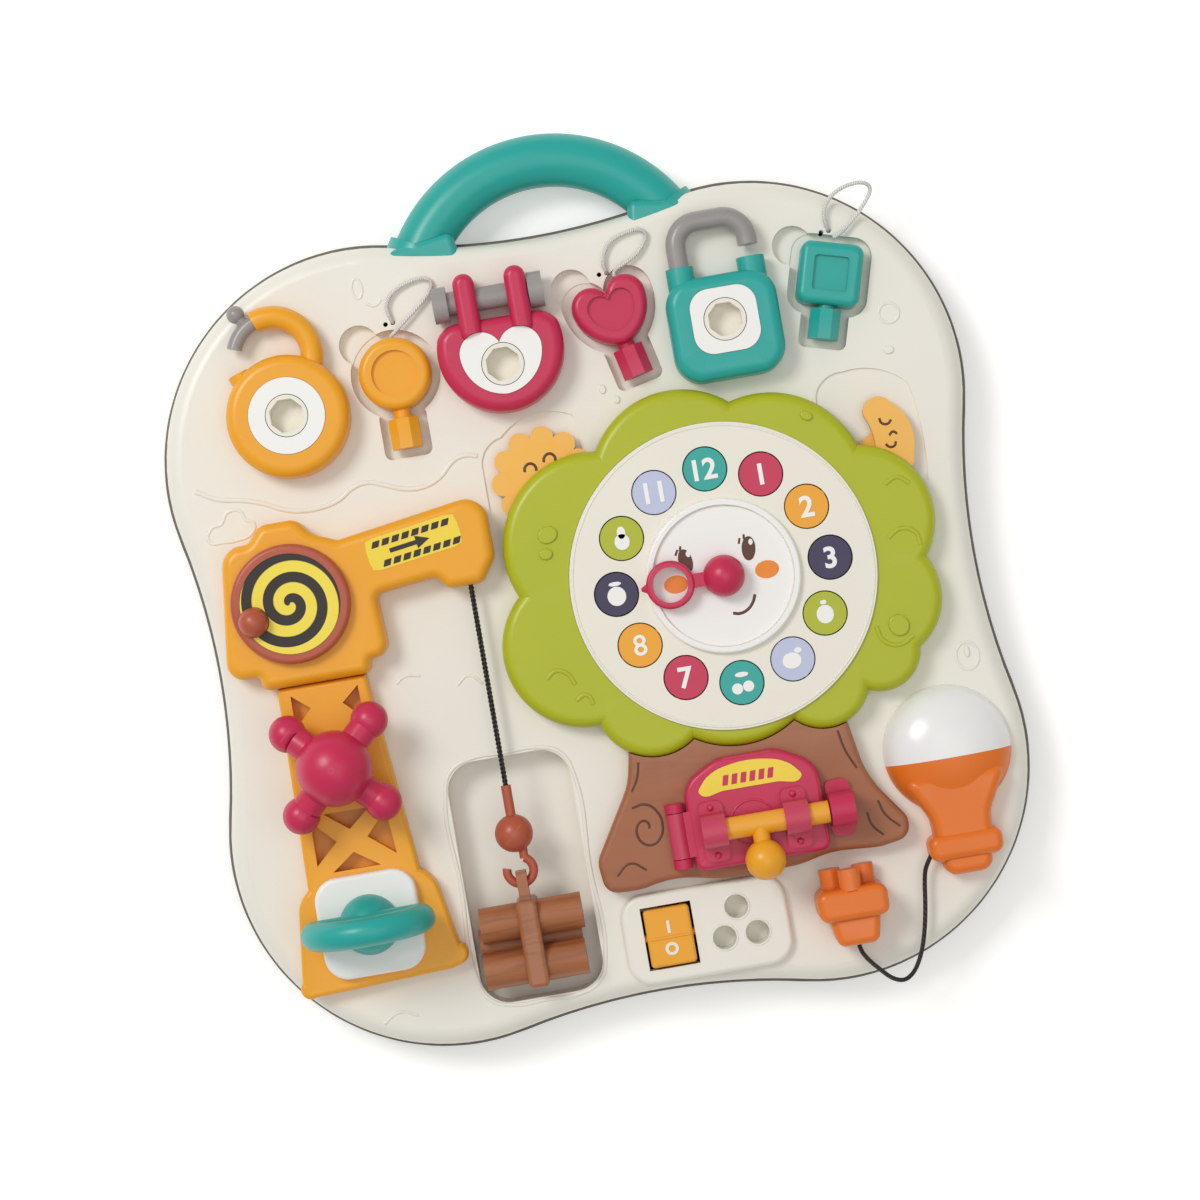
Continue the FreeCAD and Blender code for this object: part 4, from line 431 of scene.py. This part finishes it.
def slab(name, corners, level, height, finish, body="root", softness=0.1, rounding=2.0):
    # straight-sided outline with its corners cut round
    outline = []
    for number, corner in enumerate(corners):
        here = Vector(corner)
        ways = [Vector(corners[number - 1]) - here, Vector(corners[(number + 1) % len(corners)]) - here]
        leaving, arriving = [here + way.normalized() * min(rounding, way.length * cornerCut["mostOfSide"])
                             for way in ways]
        middle = here + (ways[0].normalized() + ways[1].normalized()) * rounding * cornerCut["inward"]
        outline += [tuple(leaving), tuple(middle), tuple(arriving)]
    piece = flatCurve(outline, height * mm, softness * mm)
    for knot in piece.data.splines[0].bezier_points:
        knot.handle_left_type = "VECTOR"
        knot.handle_right_type = "VECTOR"
    piece = meshFrom(piece)
    piece.location = (0, 0, (level + height / 2) * mm)
    return settle(piece, name, finish, body)


def ridge(name, runs, level, radius, finish, body="root", flatten=1.0, closed=False):
    # rounded beads along open or closed runs of points, flattened in height
    curve = bpy.data.curves.new("bead", "CURVE")
    curve.dimensions = "3D"
    curve.bevel_depth = radius * mm
    curve.bevel_resolution = fineness["beadRound"]
    curve.resolution_u = fineness["bead"]
    curve.use_fill_caps = True
    for run in runs:
        smoothRun(curve, run, closed)
    piece = meshFrom(linked("bead", curve))
    piece.scale = (1, 1, flatten)
    piece.location = (0, 0, level * mm)
    return settle(piece, name, finish, body)


strokes = {"bold": 0.3, "fine": 0.1}  # outward offset of the letters; the 8 keeps its holes with the fine one


def lettering(name, words, x, y, level, size, finish, body="root", height=0.25):
    startClean()
    bpy.ops.object.text_add(location=(0, 0, 0))
    piece = bpy.context.object
    piece.data.body = words
    piece.data.size = size * mm
    piece.data.align_x = "CENTER"
    piece.data.align_y = "CENTER"
    piece.data.extrude = height / 2 * mm
    piece.data.offset = strokes["fine" if "8" in words else "bold"] * mm
    piece = meshFrom(piece)
    low = [min(corner[axis] for corner in piece.bound_box) for axis in (0, 1)]
    high = [max(corner[axis] for corner in piece.bound_box) for axis in (0, 1)]
    piece.data.transform(Matrix.Translation((-(low[0] + high[0]) / 2, -(low[1] + high[1]) / 2, 0)))
    piece.location = (x * mm, y * mm, (level + height / 2) * mm)
    return settle(piece, name, finish, body)


# Cords: control points repeated from the part's own routes, with each real length in metres

print("cords")
cordPlan = {
    "roundTether": {"node": "round_key_cord", "slot": "white_cord", "radius": 0.8, "length": 0.063,
                    "finish": "whiteTwine", "far": "object",
                    "route": [(-60.6, 128.6, 24.0), (-60.6, 128.7, 29.0), (-61.6, 131.6, 30.4),
                              (-62.0, 136.0, 30.2), (-59.0, 140.2, 30.0), (-53.4, 143.0, 30.0),
                              (-46.6, 144.4, 30.0), (-42.2, 142.6, 30.0), (-43.6, 138.0, 30.0),
                              (-49.2, 133.0, 30.4), (-55.5, 128.2, 31.0), (-60.4, 124.4, 31.0),
                              (-62.2, 122.9, 30.8)]},
    "heartTether": {"node": "heart_key_cord", "slot": "white_cord", "radius": 0.8, "length": 0.057,
                    "finish": "whiteTwine", "far": "object",
                    "route": [(27.0, 133.6, 24.0), (27.0, 133.7, 29.0), (26.2, 136.6, 30.4),
                              (27.2, 141.6, 30.2), (31.0, 146.0, 30.0), (37.4, 148.2, 30.0),
                              (43.6, 148.6, 30.0), (45.6, 145.4, 30.0), (41.6, 139.6, 30.2),
                              (35.6, 136.0, 30.8), (29.6, 133.8, 31.0), (29.9, 131.3, 31.0)]},
    "squareTether": {"node": "square_key_cord", "slot": "white_cord", "radius": 0.8, "length": 0.0645,
                     "finish": "whiteTwine", "far": "object",
                     "route": [(117.4, 135.0, 24.0), (117.4, 135.1, 29.0), (116.2, 138.2, 30.6),
                               (116.6, 143.4, 30.8), (120.4, 148.6, 30.4), (127.6, 151.8, 29.0),
                               (134.6, 152.0, 28.0), (137.6, 148.8, 28.0), (132.4, 142.0, 29.6),
                               (126.0, 136.0, 30.8), (121.4, 132.6, 31.0), (118.4, 131.6, 31.0)]},
    "plugFlex": {"node": "plug_cord", "slot": "black_cord", "radius": 0.9, "length": 0.0825,
                 "finish": "blackTwine", "far": "plug",
                 "route": [(116.0, -115.6, 33.8), (112.0, -120.8, 33.8), (110.4, -125.6, 33.6),
                           (108.6, -139.0, 33.6), (106.0, -150.4, 33.2), (103.0, -158.4, 31.4),
                           (99.6, -163.6, 29.6), (95.6, -165.6, 29.6), (91.0, -163.6, 31.0),
                           (87.2, -159.4, 33.0), (83.2, -154.8, 35.0), (80.2, -150.0, 36.0),
                           (80.0, -146.68, 36.0)]},
}


def layCord(name, plan):
    curve = bpy.data.curves.new(name, "CURVE")
    curve.dimensions = "3D"
    curve.bevel_depth = plan["radius"] * mm
    curve.bevel_resolution = fineness["cordRound"]
    curve.resolution_u = fineness["cord"]
    curve.use_fill_caps = True
    spline = curve.splines.new("NURBS")
    spline.points.add(len(plan["route"]) - 1)
    for point, place in zip(spline.points, plan["route"]):
        point.co = (place[0] * mm, place[1] * mm, place[2] * mm, 1)
    spline.order_u = 3
    spline.use_endpoint_u = True
    piece = linked(name, curve)
    piece.data.materials.append(finishes[plan["finish"]])
    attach(piece, "root")
    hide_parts(plan["node"])
    return piece


for name, plan in cordPlan.items():
    layCord(name, plan)


# Lifting string: two strands wound round each other

string = {"x": -47.5, "level": 36.0, "high": 27.0, "low": -61.0, "lay": 0.5, "strand": 0.62, "turns": 26,
          "steps": 8, "length": 88.0, "lift": 49.57}


def twistedRun(plan):
    curve = bpy.data.curves.new("strands", "CURVE")
    curve.dimensions = "3D"
    curve.bevel_depth = plan["strand"] * mm
    curve.bevel_resolution = fineness["strandRound"]
    curve.resolution_u = fineness["strand"]
    count = plan["turns"] * plan["steps"]
    fall = plan["low"] - plan["high"]
    for start in (0, math.pi):
        strand = []
        for k in range(count + 1):
            angle = start + 2 * math.pi * k / plan["steps"]
            strand.append((plan["x"] + plan["lay"] * math.cos(angle), plan["high"] + fall * k / count,
                           plan["level"] + plan["lay"] * math.sin(angle)))
        smoothRun(curve, strand)
    return meshFrom(linked("strands", curve))


hoistString = settle(twistedRun(string), "liftingString", "blackTwine")
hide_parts("lifting_string")
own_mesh(hoistString)


# Dial: numbers and plain fruit shapes on the twelve discs, and the face on the middle plate

print("dial")
dial = {"centre": (51.8, 6.2), "reach": 42.9, "top": 40.8, "size": 11.5, "raise": 0.25, "softness": 0.08,
        "fruit": {4: [(0, -0.4, 6.8, 7.4), (0, 4.4, 2.6, 1.8)],
                  5: [(-0.4, -0.6, 7.6, 6.4), (2.6, 3.2, 3.0, 2.2)],
                  6: [(-2.1, -2.2, 4.4, 4.4), (2.4, -1.8, 4.4, 4.4), (0.4, 3.2, 5.4, 2.0)],
                  9: [(0, -0.8, 7.4, 7.6), (0, 4.1, 5.0, 1.7)],
                  10: [(0, -1.4, 6.0, 6.4), (0.2, 2.2, 3.4, 5.0)]}}
for number in range(1, 13):
    angle = math.radians(90 - 30 * number)
    x = dial["centre"][0] + dial["reach"] * math.cos(angle)
    y = dial["centre"][1] + dial["reach"] * math.sin(angle)
    body = "disc_%02d" % number
    if number in dial["fruit"]:
        fruit = [oval(x + right, y + up, wide, tall) for right, up, wide, tall in dial["fruit"][number]]
        patch("discFruit%02d" % number, fruit, dial["top"], dial["raise"], "white", body, dial["softness"])
    else:
        lettering("discNumber%02d" % number, str(number), x, y, dial["top"], dial["size"], "white", body)

face = {"level": 42.3, "print": 0.2, "glint": 0.1, "glintSoftness": 0.04, "flatten": 0.4,
        "eyes": [(38.0, 14.5, 5.4, 9.6, 8), (63.4, 15.2, 5.4, 9.6, -8)],
        "glints": [(39.4, 17.0, 1.7, 2.4, 8), (64.6, 17.6, 1.7, 2.4, -8)],
        "cheeks": [(32.7, 6.0, 9.5, 7.0, 0), (69.2, 5.8, 9.5, 7.0, 0)],
        "smile": [(53.0, -9.0), (55.4, -9.6), (58.6, -8.8), (61.4, -6.2), (62.8, -3.2)], "smileBead": 0.6,
        "lashes": [[(34.4, 17.2), (35.6, 19.4)], [(36.4, 18.6), (37.0, 20.6)],
                   [(59.9, 17.6), (60.6, 19.8)], [(62.2, 19.0), (62.4, 21.0)]], "lashBead": 0.45}
patch("faceEyes", [oval(*spot) for spot in face["eyes"]], face["level"], face["print"], "brownInk")
patch("faceGlints", [oval(*spot) for spot in face["glints"]], face["level"] + face["print"], face["glint"],
      "white", softness=face["glintSoftness"])
patch("faceCheeks", [oval(*spot) for spot in face["cheeks"]], face["level"], face["print"], "cheek")
ridge("faceSmile", [face["smile"]], face["level"], face["smileBead"], "brownInk", flatten=face["flatten"])
ridge("faceLashes", face["lashes"], face["level"], face["lashBead"], "brownInk", flatten=face["flatten"])

# Two round beads about the dial's centre
dialBeads = {"knots": 24, "flatten": 0.5,
             "faceRimLine": {"across": 55.6, "level": 42.35, "bead": 0.25, "finish": "cream"},
             "dialEdgeLine": {"across": 119.4, "level": 41.1, "bead": 0.5, "finish": "ivory"}}
for name in ("faceRimLine", "dialEdgeLine"):
    plan = dialBeads[name]
    circle = oval(*dial["centre"], plan["across"], plan["across"], count=dialBeads["knots"])
    ridge(name, [circle], plan["level"], plan["bead"], plan["finish"], flatten=dialBeads["flatten"],
          closed=True)


# Sun and moon faces

print("sun and moon")
drowsy = {"top": 33.3, "sunLevel": 33.7, "sunBead": 0.55, "moonBead": 0.5, "flatten": 0.5,
          "sunEyes": [[(-18.8, 60.4), (-18.2, 62.4), (-16.0, 63.4), (-14.2, 62.0), (-14.0, 60.2)],
                      [(-10.6, 63.0), (-10.0, 65.0), (-7.8, 66.0), (-6.0, 64.6), (-5.8, 62.8)]],
          "moonFace": [[(124.0, 57.4), (124.6, 55.4), (126.8, 54.6), (128.6, 56.0)],
                       [(124.8, 46.8), (126.2, 45.4), (128.2, 45.6), (129.0, 47.2)],
                       [(126.8, 50.0), (128.4, 51.2), (130.0, 50.2)]]}
ridge("sunEyes", drowsy["sunEyes"], drowsy["sunLevel"], drowsy["sunBead"], "brownInk", "sun_moon",
      drowsy["flatten"])
ridge("moonFace", drowsy["moonFace"], drowsy["top"], drowsy["moonBead"], "brownInk", "sun_moon",
      drowsy["flatten"])


# Crane label: a yellow plate with two rows of slanting dashes and an arrow

print("labels")
label = {"corners": [(-84.6, 31.0), (-46.9, 36.2), (-49.0, 49.4), (-86.4, 44.0)], "top": 42.0, "thick": 0.25,
         "rounding": 4.0, "turn": 8.0, "rows": [(-83.5, 40.4), (-80.0, 32.6)], "dashes": 8, "step": 4.1,
         "dash": [(0, 0), (2.94, 0), (4.2, 2.5), (1.26, 2.5)], "ink": 0.12, "inkSoftness": 0.03,
         "inkRounding": 0.3, "tail": (-76.5, 38.6),
         "arrow": [(0, -0.9), (11, -0.9), (11, -2.6), (16.5, 0), (11, 2.6), (11, 0.9), (0, 0.9)]}
slab("craneLabel", label["corners"], label["top"], label["thick"], "label", rounding=label["rounding"])
lean = Matrix.Rotation(math.radians(label["turn"]), 2)


def labelMark(name, start, corners):
    outline = [tuple(start + lean @ Vector(corner)) for corner in corners]
    slab(name, outline, label["top"] + label["thick"], label["ink"], "ink", softness=label["inkSoftness"],
         rounding=label["inkRounding"])


for row, rowStart in enumerate(label["rows"]):
    for number in range(label["dashes"]):
        start = Vector(rowStart) + lean @ Vector((number * label["step"], 0))
        labelMark("labelDash%02d" % (row * label["dashes"] + number), start, label["dash"])
labelMark("labelArrow", Vector(label["tail"]), label["arrow"])

doorSign = {"top": 44.3, "thick": 0.4, "softness": 0.15,
            "arch": [(27.6, -77.0), (29.2, -73.4), (34.0, -69.6), (41.0, -67.6), (48.0, -67.0), (55.0, -67.6),
                     (62.0, -69.6), (66.8, -73.4), (68.4, -77.0), (58, -77.4), (48.0, -77.4), (38, -77.4)],
            "dashes": 6, "firstDash": 37.0, "step": 3.6, "low": -75.4, "high": -71.4, "wide": 2.2,
            "slant": 1.0, "ink": 0.15, "inkSoftness": 0.03, "inkRounding": 0.3,
            "ring": (46.8, -91.7, 18, 18), "ringKnots": 12, "ringBead": 0.5, "ringFlatten": 0.6}
patch("doorSign", [doorSign["arch"]], doorSign["top"], doorSign["thick"], "label", "door",
      doorSign["softness"])
for number in range(doorSign["dashes"]):
    left = doorSign["firstDash"] + number * doorSign["step"]
    right = left + doorSign["wide"]
    slab("signDash%d" % number,
         [(left, doorSign["low"]), (right, doorSign["low"]),
          (right + doorSign["slant"], doorSign["high"]), (left + doorSign["slant"], doorSign["high"])],
         doorSign["top"] + doorSign["thick"], doorSign["ink"], "crimson", "door", doorSign["inkSoftness"],
         doorSign["inkRounding"])
ridge("doorCircle", [oval(*doorSign["ring"], count=doorSign["ringKnots"])], doorSign["top"],
      doorSign["ringBead"], "crimson", "door", doorSign["ringFlatten"], True)

switch = {"top": 34.4, "marks": [("I", 6.6, -127.6), ("O", 6.6, -136.4)], "size": 6.5, "raise": 0.3,
          "pivotLine": [(-1.6, -131.8), (14.8, -131.8)], "bead": 0.6, "flatten": 0.6}
for words, x, y in switch["marks"]:
    lettering("switchMark" + words, words, x, y, switch["top"], switch["size"], "ivory", "power_switch",
              switch["raise"])
ridge("switchRidge", [switch["pivotLine"]], switch["top"], switch["bead"], "amber", "power_switch",
      switch["flatten"])

# Coloured floor behind the crane tower's lattice
towerFloor = {"corners": [(-128, -9.5), (-96.6, -9.5), (-90.6, -86), (-130, -86)], "level": 28.0, "thick": 2.4,
              "softness": 0.2}
slab("towerFloor", towerFloor["corners"], towerFloor["level"], towerFloor["thick"], "ochre",
     softness=towerFloor["softness"])


# Raised ornaments of the shell, the crown and the trunk

print("ornaments")
shellLines = {
    "level": 27.9, "flatten": 0.7,
    "sky": [[(-150, 75.5), (-141.8, 71), (-131, 68.6), (-123.6, 66), (-114.5, 61.8), (-103.6, 60.5),
             (-94.5, 62.3), (-87.3, 66.4), (-81, 67.3), (-74.5, 65), (-67.3, 62.3), (-60, 61.8),
             (-52.7, 64.5), (-46.4, 70), (-41.8, 71.4), (-36.5, 70.4)]],
    "clouds": [[(-148, 55), (-146, 60), (-142, 61), (-139, 65), (-134, 65), (-132, 61), (-129, 59),
                (-131, 55), (-136, 53.6), (-142, 53.6)]],
    "rings": [oval(135.5, 98.5, 8, 8), oval(143, -42, 9, 11), oval(-72.5, 144.5, 4, 8)],
    "crescents": [[(-70, 138), (-66.5, 136.6), (-63.5, 138.6)], [(-84, -14), (-80, -11.6), (-74, -12.4)],
                  [(-60, -18.6), (-55, -15.6), (-49.8, -19.6)],
                  [(-112, -147), (-105, -143.6), (-98, -146)]],
}
for name, key, bead, closed in (("skyStep", "sky", 1.1, False), ("smallClouds", "clouds", 0.8, True),
                                ("shellRings", "rings", 0.7, True), ("crescents", "crescents", 0.7, False)):
    ridge(name, shellLines[key], shellLines["level"], bead, "cream", flatten=shellLines["flatten"],
          closed=closed)

drops = {"level": 28.0, "height": 0.8, "softness": 0.35,
         "spots": [(17.5, 88, 2.6, 3.6), (22.5, 83, 2.4, 3.2), (133, 84, 4, 3.4), (143, -40, 2.2, 5)]}
patch("shellDrops", [oval(*spot) for spot in drops["spots"]], drops["level"], drops["height"], "cream",
      softness=drops["softness"])


def boxLine(left, low, right, high, radius):
    # a rectangle with rounded corners, three points to a corner and one in each side
    cut = radius * 0.29  # brings the middle point of a corner onto its arc
    middleX = (left + right) / 2
    middleY = (low + high) / 2
    return [(left + radius, low), (middleX, low), (right - radius, low), (right - cut, low + cut),
            (right, low + radius), (right, middleY), (right, high - radius), (right - cut, high - cut),
            (right - radius, high), (middleX, high), (left + radius, high), (left + cut, high - cut),
            (left, high - radius), (left, middleY), (left, low + radius), (left + cut, low + cut)]


loadPocket = {"box": (-72.4, -148.6, -20.2, -48.5), "corner": 13, "level": 27.95, "bead": 0.9, "flatten": 0.6}
ridge("loadPocketLip", [boxLine(*loadPocket["box"], loadPocket["corner"])], loadPocket["level"],
      loadPocket["bead"], "cream", flatten=loadPocket["flatten"], closed=True)

sockets = {"centres": [(34.7, -124.5), (28.05, -136.0), (41.35, -136.0)], "across": 10.2, "level": 32.0,
           "knots": 14, "bead": 0.45, "flatten": 0.6}
for number, (x, y) in enumerate(sockets["centres"]):
    circle = oval(x, y, sockets["across"], sockets["across"], count=sockets["knots"])
    ridge("socketLip%d" % number, [circle], sockets["level"], sockets["bead"], "cream",
          flatten=sockets["flatten"], closed=True)

crown = {"lumps": [(-14, 34, 8, 6.5, 20), (-16, 26.6, 5.4, 4.4), (117, -25, 8, 8.6, 20),
                   (95, 63, 5, 3.6, -30)],
         "lumpLevel": 39.9, "lumpHeight": 1.1, "lumpSoftness": 0.5,
         "curlLevel": 40.0, "curlBead": 0.9, "curlFlatten": 0.5,
         "curls": [[(-24, -22), (-20, -19.6), (-15.6, -21.6), (-13.4, -26)],
                   [(-14, -32.4), (-9.6, -31), (-7.4, -35)], [(121, 31), (126, 33), (130.6, 30)],
                   [(119, 10), (124, 12.6), (129.6, 10.4), (131, 5)],
                   [(108, -24), (110, -30), (116, -32.6), (122, -30)]]}
patch("crownLumps", [oval(*spot) for spot in crown["lumps"]], crown["lumpLevel"], crown["lumpHeight"], "lime",
      softness=crown["lumpSoftness"])
ridge("crownCurls", crown["curls"], crown["curlLevel"], crown["curlBead"], "lime",
      flatten=crown["curlFlatten"])

# Seam between the two shells: corner arcs of one radius, joined by hollow sides that come in to the waist
rim = {"centre": 76.0, "radius": 86.5, "waist": 154.3, "level": 11.0, "bead": 1.1, "sideKnots": 6,
       "cornerKnots": 12}


def boardLine(plan):
    centre = plan["centre"]
    radius = plan["radius"]
    waist = plan["waist"]
    side = (centre * centre + (waist - centre) ** 2 - radius * radius) / (2 * (radius - waist + centre))
    half = math.atan2(centre, waist + side - centre)
    points = []
    for quarter in range(4):
        turn = Matrix.Rotation(math.radians(90 * quarter), 2)
        for k in range(-plan["sideKnots"], plan["sideKnots"] + 1):
            angle = math.pi - half * k / (plan["sideKnots"] + 1)
            spot = Vector((waist + side + side * math.cos(angle), side * math.sin(angle)))
            points.append(tuple(turn @ spot))
        for k in range(plan["cornerKnots"] + 1):
            angle = -half + (math.pi / 2 + 2 * half) * k / plan["cornerKnots"]
            spot = Vector((centre + radius * math.cos(angle), centre + radius * math.sin(angle)))
            points.append(tuple(turn @ spot))
    return points


ridge("rimSeam", [boardLine(rim)], rim["level"], rim["bead"], "seam", closed=True)

trunk = {"level": 38.0, "flatten": 0.25, "swirl": (4.6, -87.5), "knots": 13, "knotTurn": 40, "start": 1.5,
         "growth": 0.75, "narrow": 0.8, "swirlBead": 0.5, "barkBead": 0.45,
         "bark": [[(97.0, -92), (99.0, -98), (104.0, -103.6)], [(92.0, -96), (93.0, -101), (97.0, -106)],
                  [(-10, -104), (-4, -100), (2, -103.6)], [(6, -61), (4.4, -67), (1.4, -72)],
                  [(86, -62), (87.6, -70), (91, -78)]]}
swirl = []
for k in range(trunk["knots"]):
    angle = math.radians(trunk["knotTurn"] * k)
    reach = trunk["start"] + trunk["growth"] * k
    swirl.append((trunk["swirl"][0] + reach * math.cos(angle) * trunk["narrow"],
                  trunk["swirl"][1] + reach * math.sin(angle)))
ridge("trunkSwirl", [swirl], trunk["level"], trunk["swirlBead"], "brownInk", flatten=trunk["flatten"])
ridge("trunkBark", trunk["bark"], trunk["level"], trunk["barkBead"], "brownInk", flatten=trunk["flatten"])


# Floor, light and camera: metres here, apart from the aim, lens and sensor in millimetres

print("stage")
stage = {"floorColour": "#F7F5F1", "floorSize": 12, "floorLevel": -0.0002, "floorRoughness": 0.9,
         "floorGlow": 0.3, "aim": (2.07, 5.12), "roll": -9.877, "above": 1.228, "lens": 90.0,
         "sensor": 36.0, "world": 0.45,
         "windowLamp": {"spot": (-0.8, 0.8, 1.5), "size": 0.6, "power": 14.0},
         "fillLamp": {"spot": (0.3, -0.2, 2.2), "size": 1.6, "power": 8.0}}
startClean()
bpy.ops.mesh.primitive_plane_add(size=stage["floorSize"], location=(0, 0, stage["floorLevel"]))
floor = bpy.context.object
floor.name = "floor"
floorSkin, tree, shader = startMaterial("paleFloor")
shader.inputs["Base Color"].default_value = paint(stage["floorColour"])
shader.inputs["Roughness"].default_value = stage["floorRoughness"]
path = tree.nodes.new("ShaderNodeLightPath")
direct = mathNode(tree, "ADD", path.outputs["Is Camera Ray"], path.outputs["Is Glossy Ray"])
seen = mathNode(tree, "ADD", direct, path.outputs["Is Transmission Ray"])
tree.links.new(mathNode(tree, "MULTIPLY", seen, stage["floorGlow"]), shader.inputs["Emission Strength"])
shader.inputs["Emission Color"].default_value = (1, 1, 1, 1)
floor.data.materials.append(floorSkin)


def softLamp(name, plan):
    lamp = bpy.data.lights.new(name, "AREA")
    lamp.size = plan["size"]
    lamp.energy = plan["power"]
    holder = linked(name, lamp)
    holder.location = plan["spot"]
    holder.rotation_euler = (-Vector(plan["spot"])).to_track_quat("-Z", "Y").to_euler()


for name in ("windowLamp", "fillLamp"):
    softLamp(name, stage[name])
world = bpy.data.worlds.new("studio")
bpy.context.scene.world = world
world.use_nodes = True
world.node_tree.nodes["Background"].inputs["Color"].default_value = (1, 1, 1, 1)
world.node_tree.nodes["Background"].inputs["Strength"].default_value = stage["world"]

eye = bpy.data.cameras.new("eye")
eye.lens = stage["lens"]
eye.sensor_width = stage["sensor"]
camera = linked("eye", eye)
camera.location = (stage["aim"][0] * mm, stage["aim"][1] * mm, stage["above"])
camera.rotation_euler = (0, 0, math.radians(stage["roll"]))
bpy.context.scene.camera = camera
bpy.context.scene.view_settings.view_transform = "Standard"

print("done")
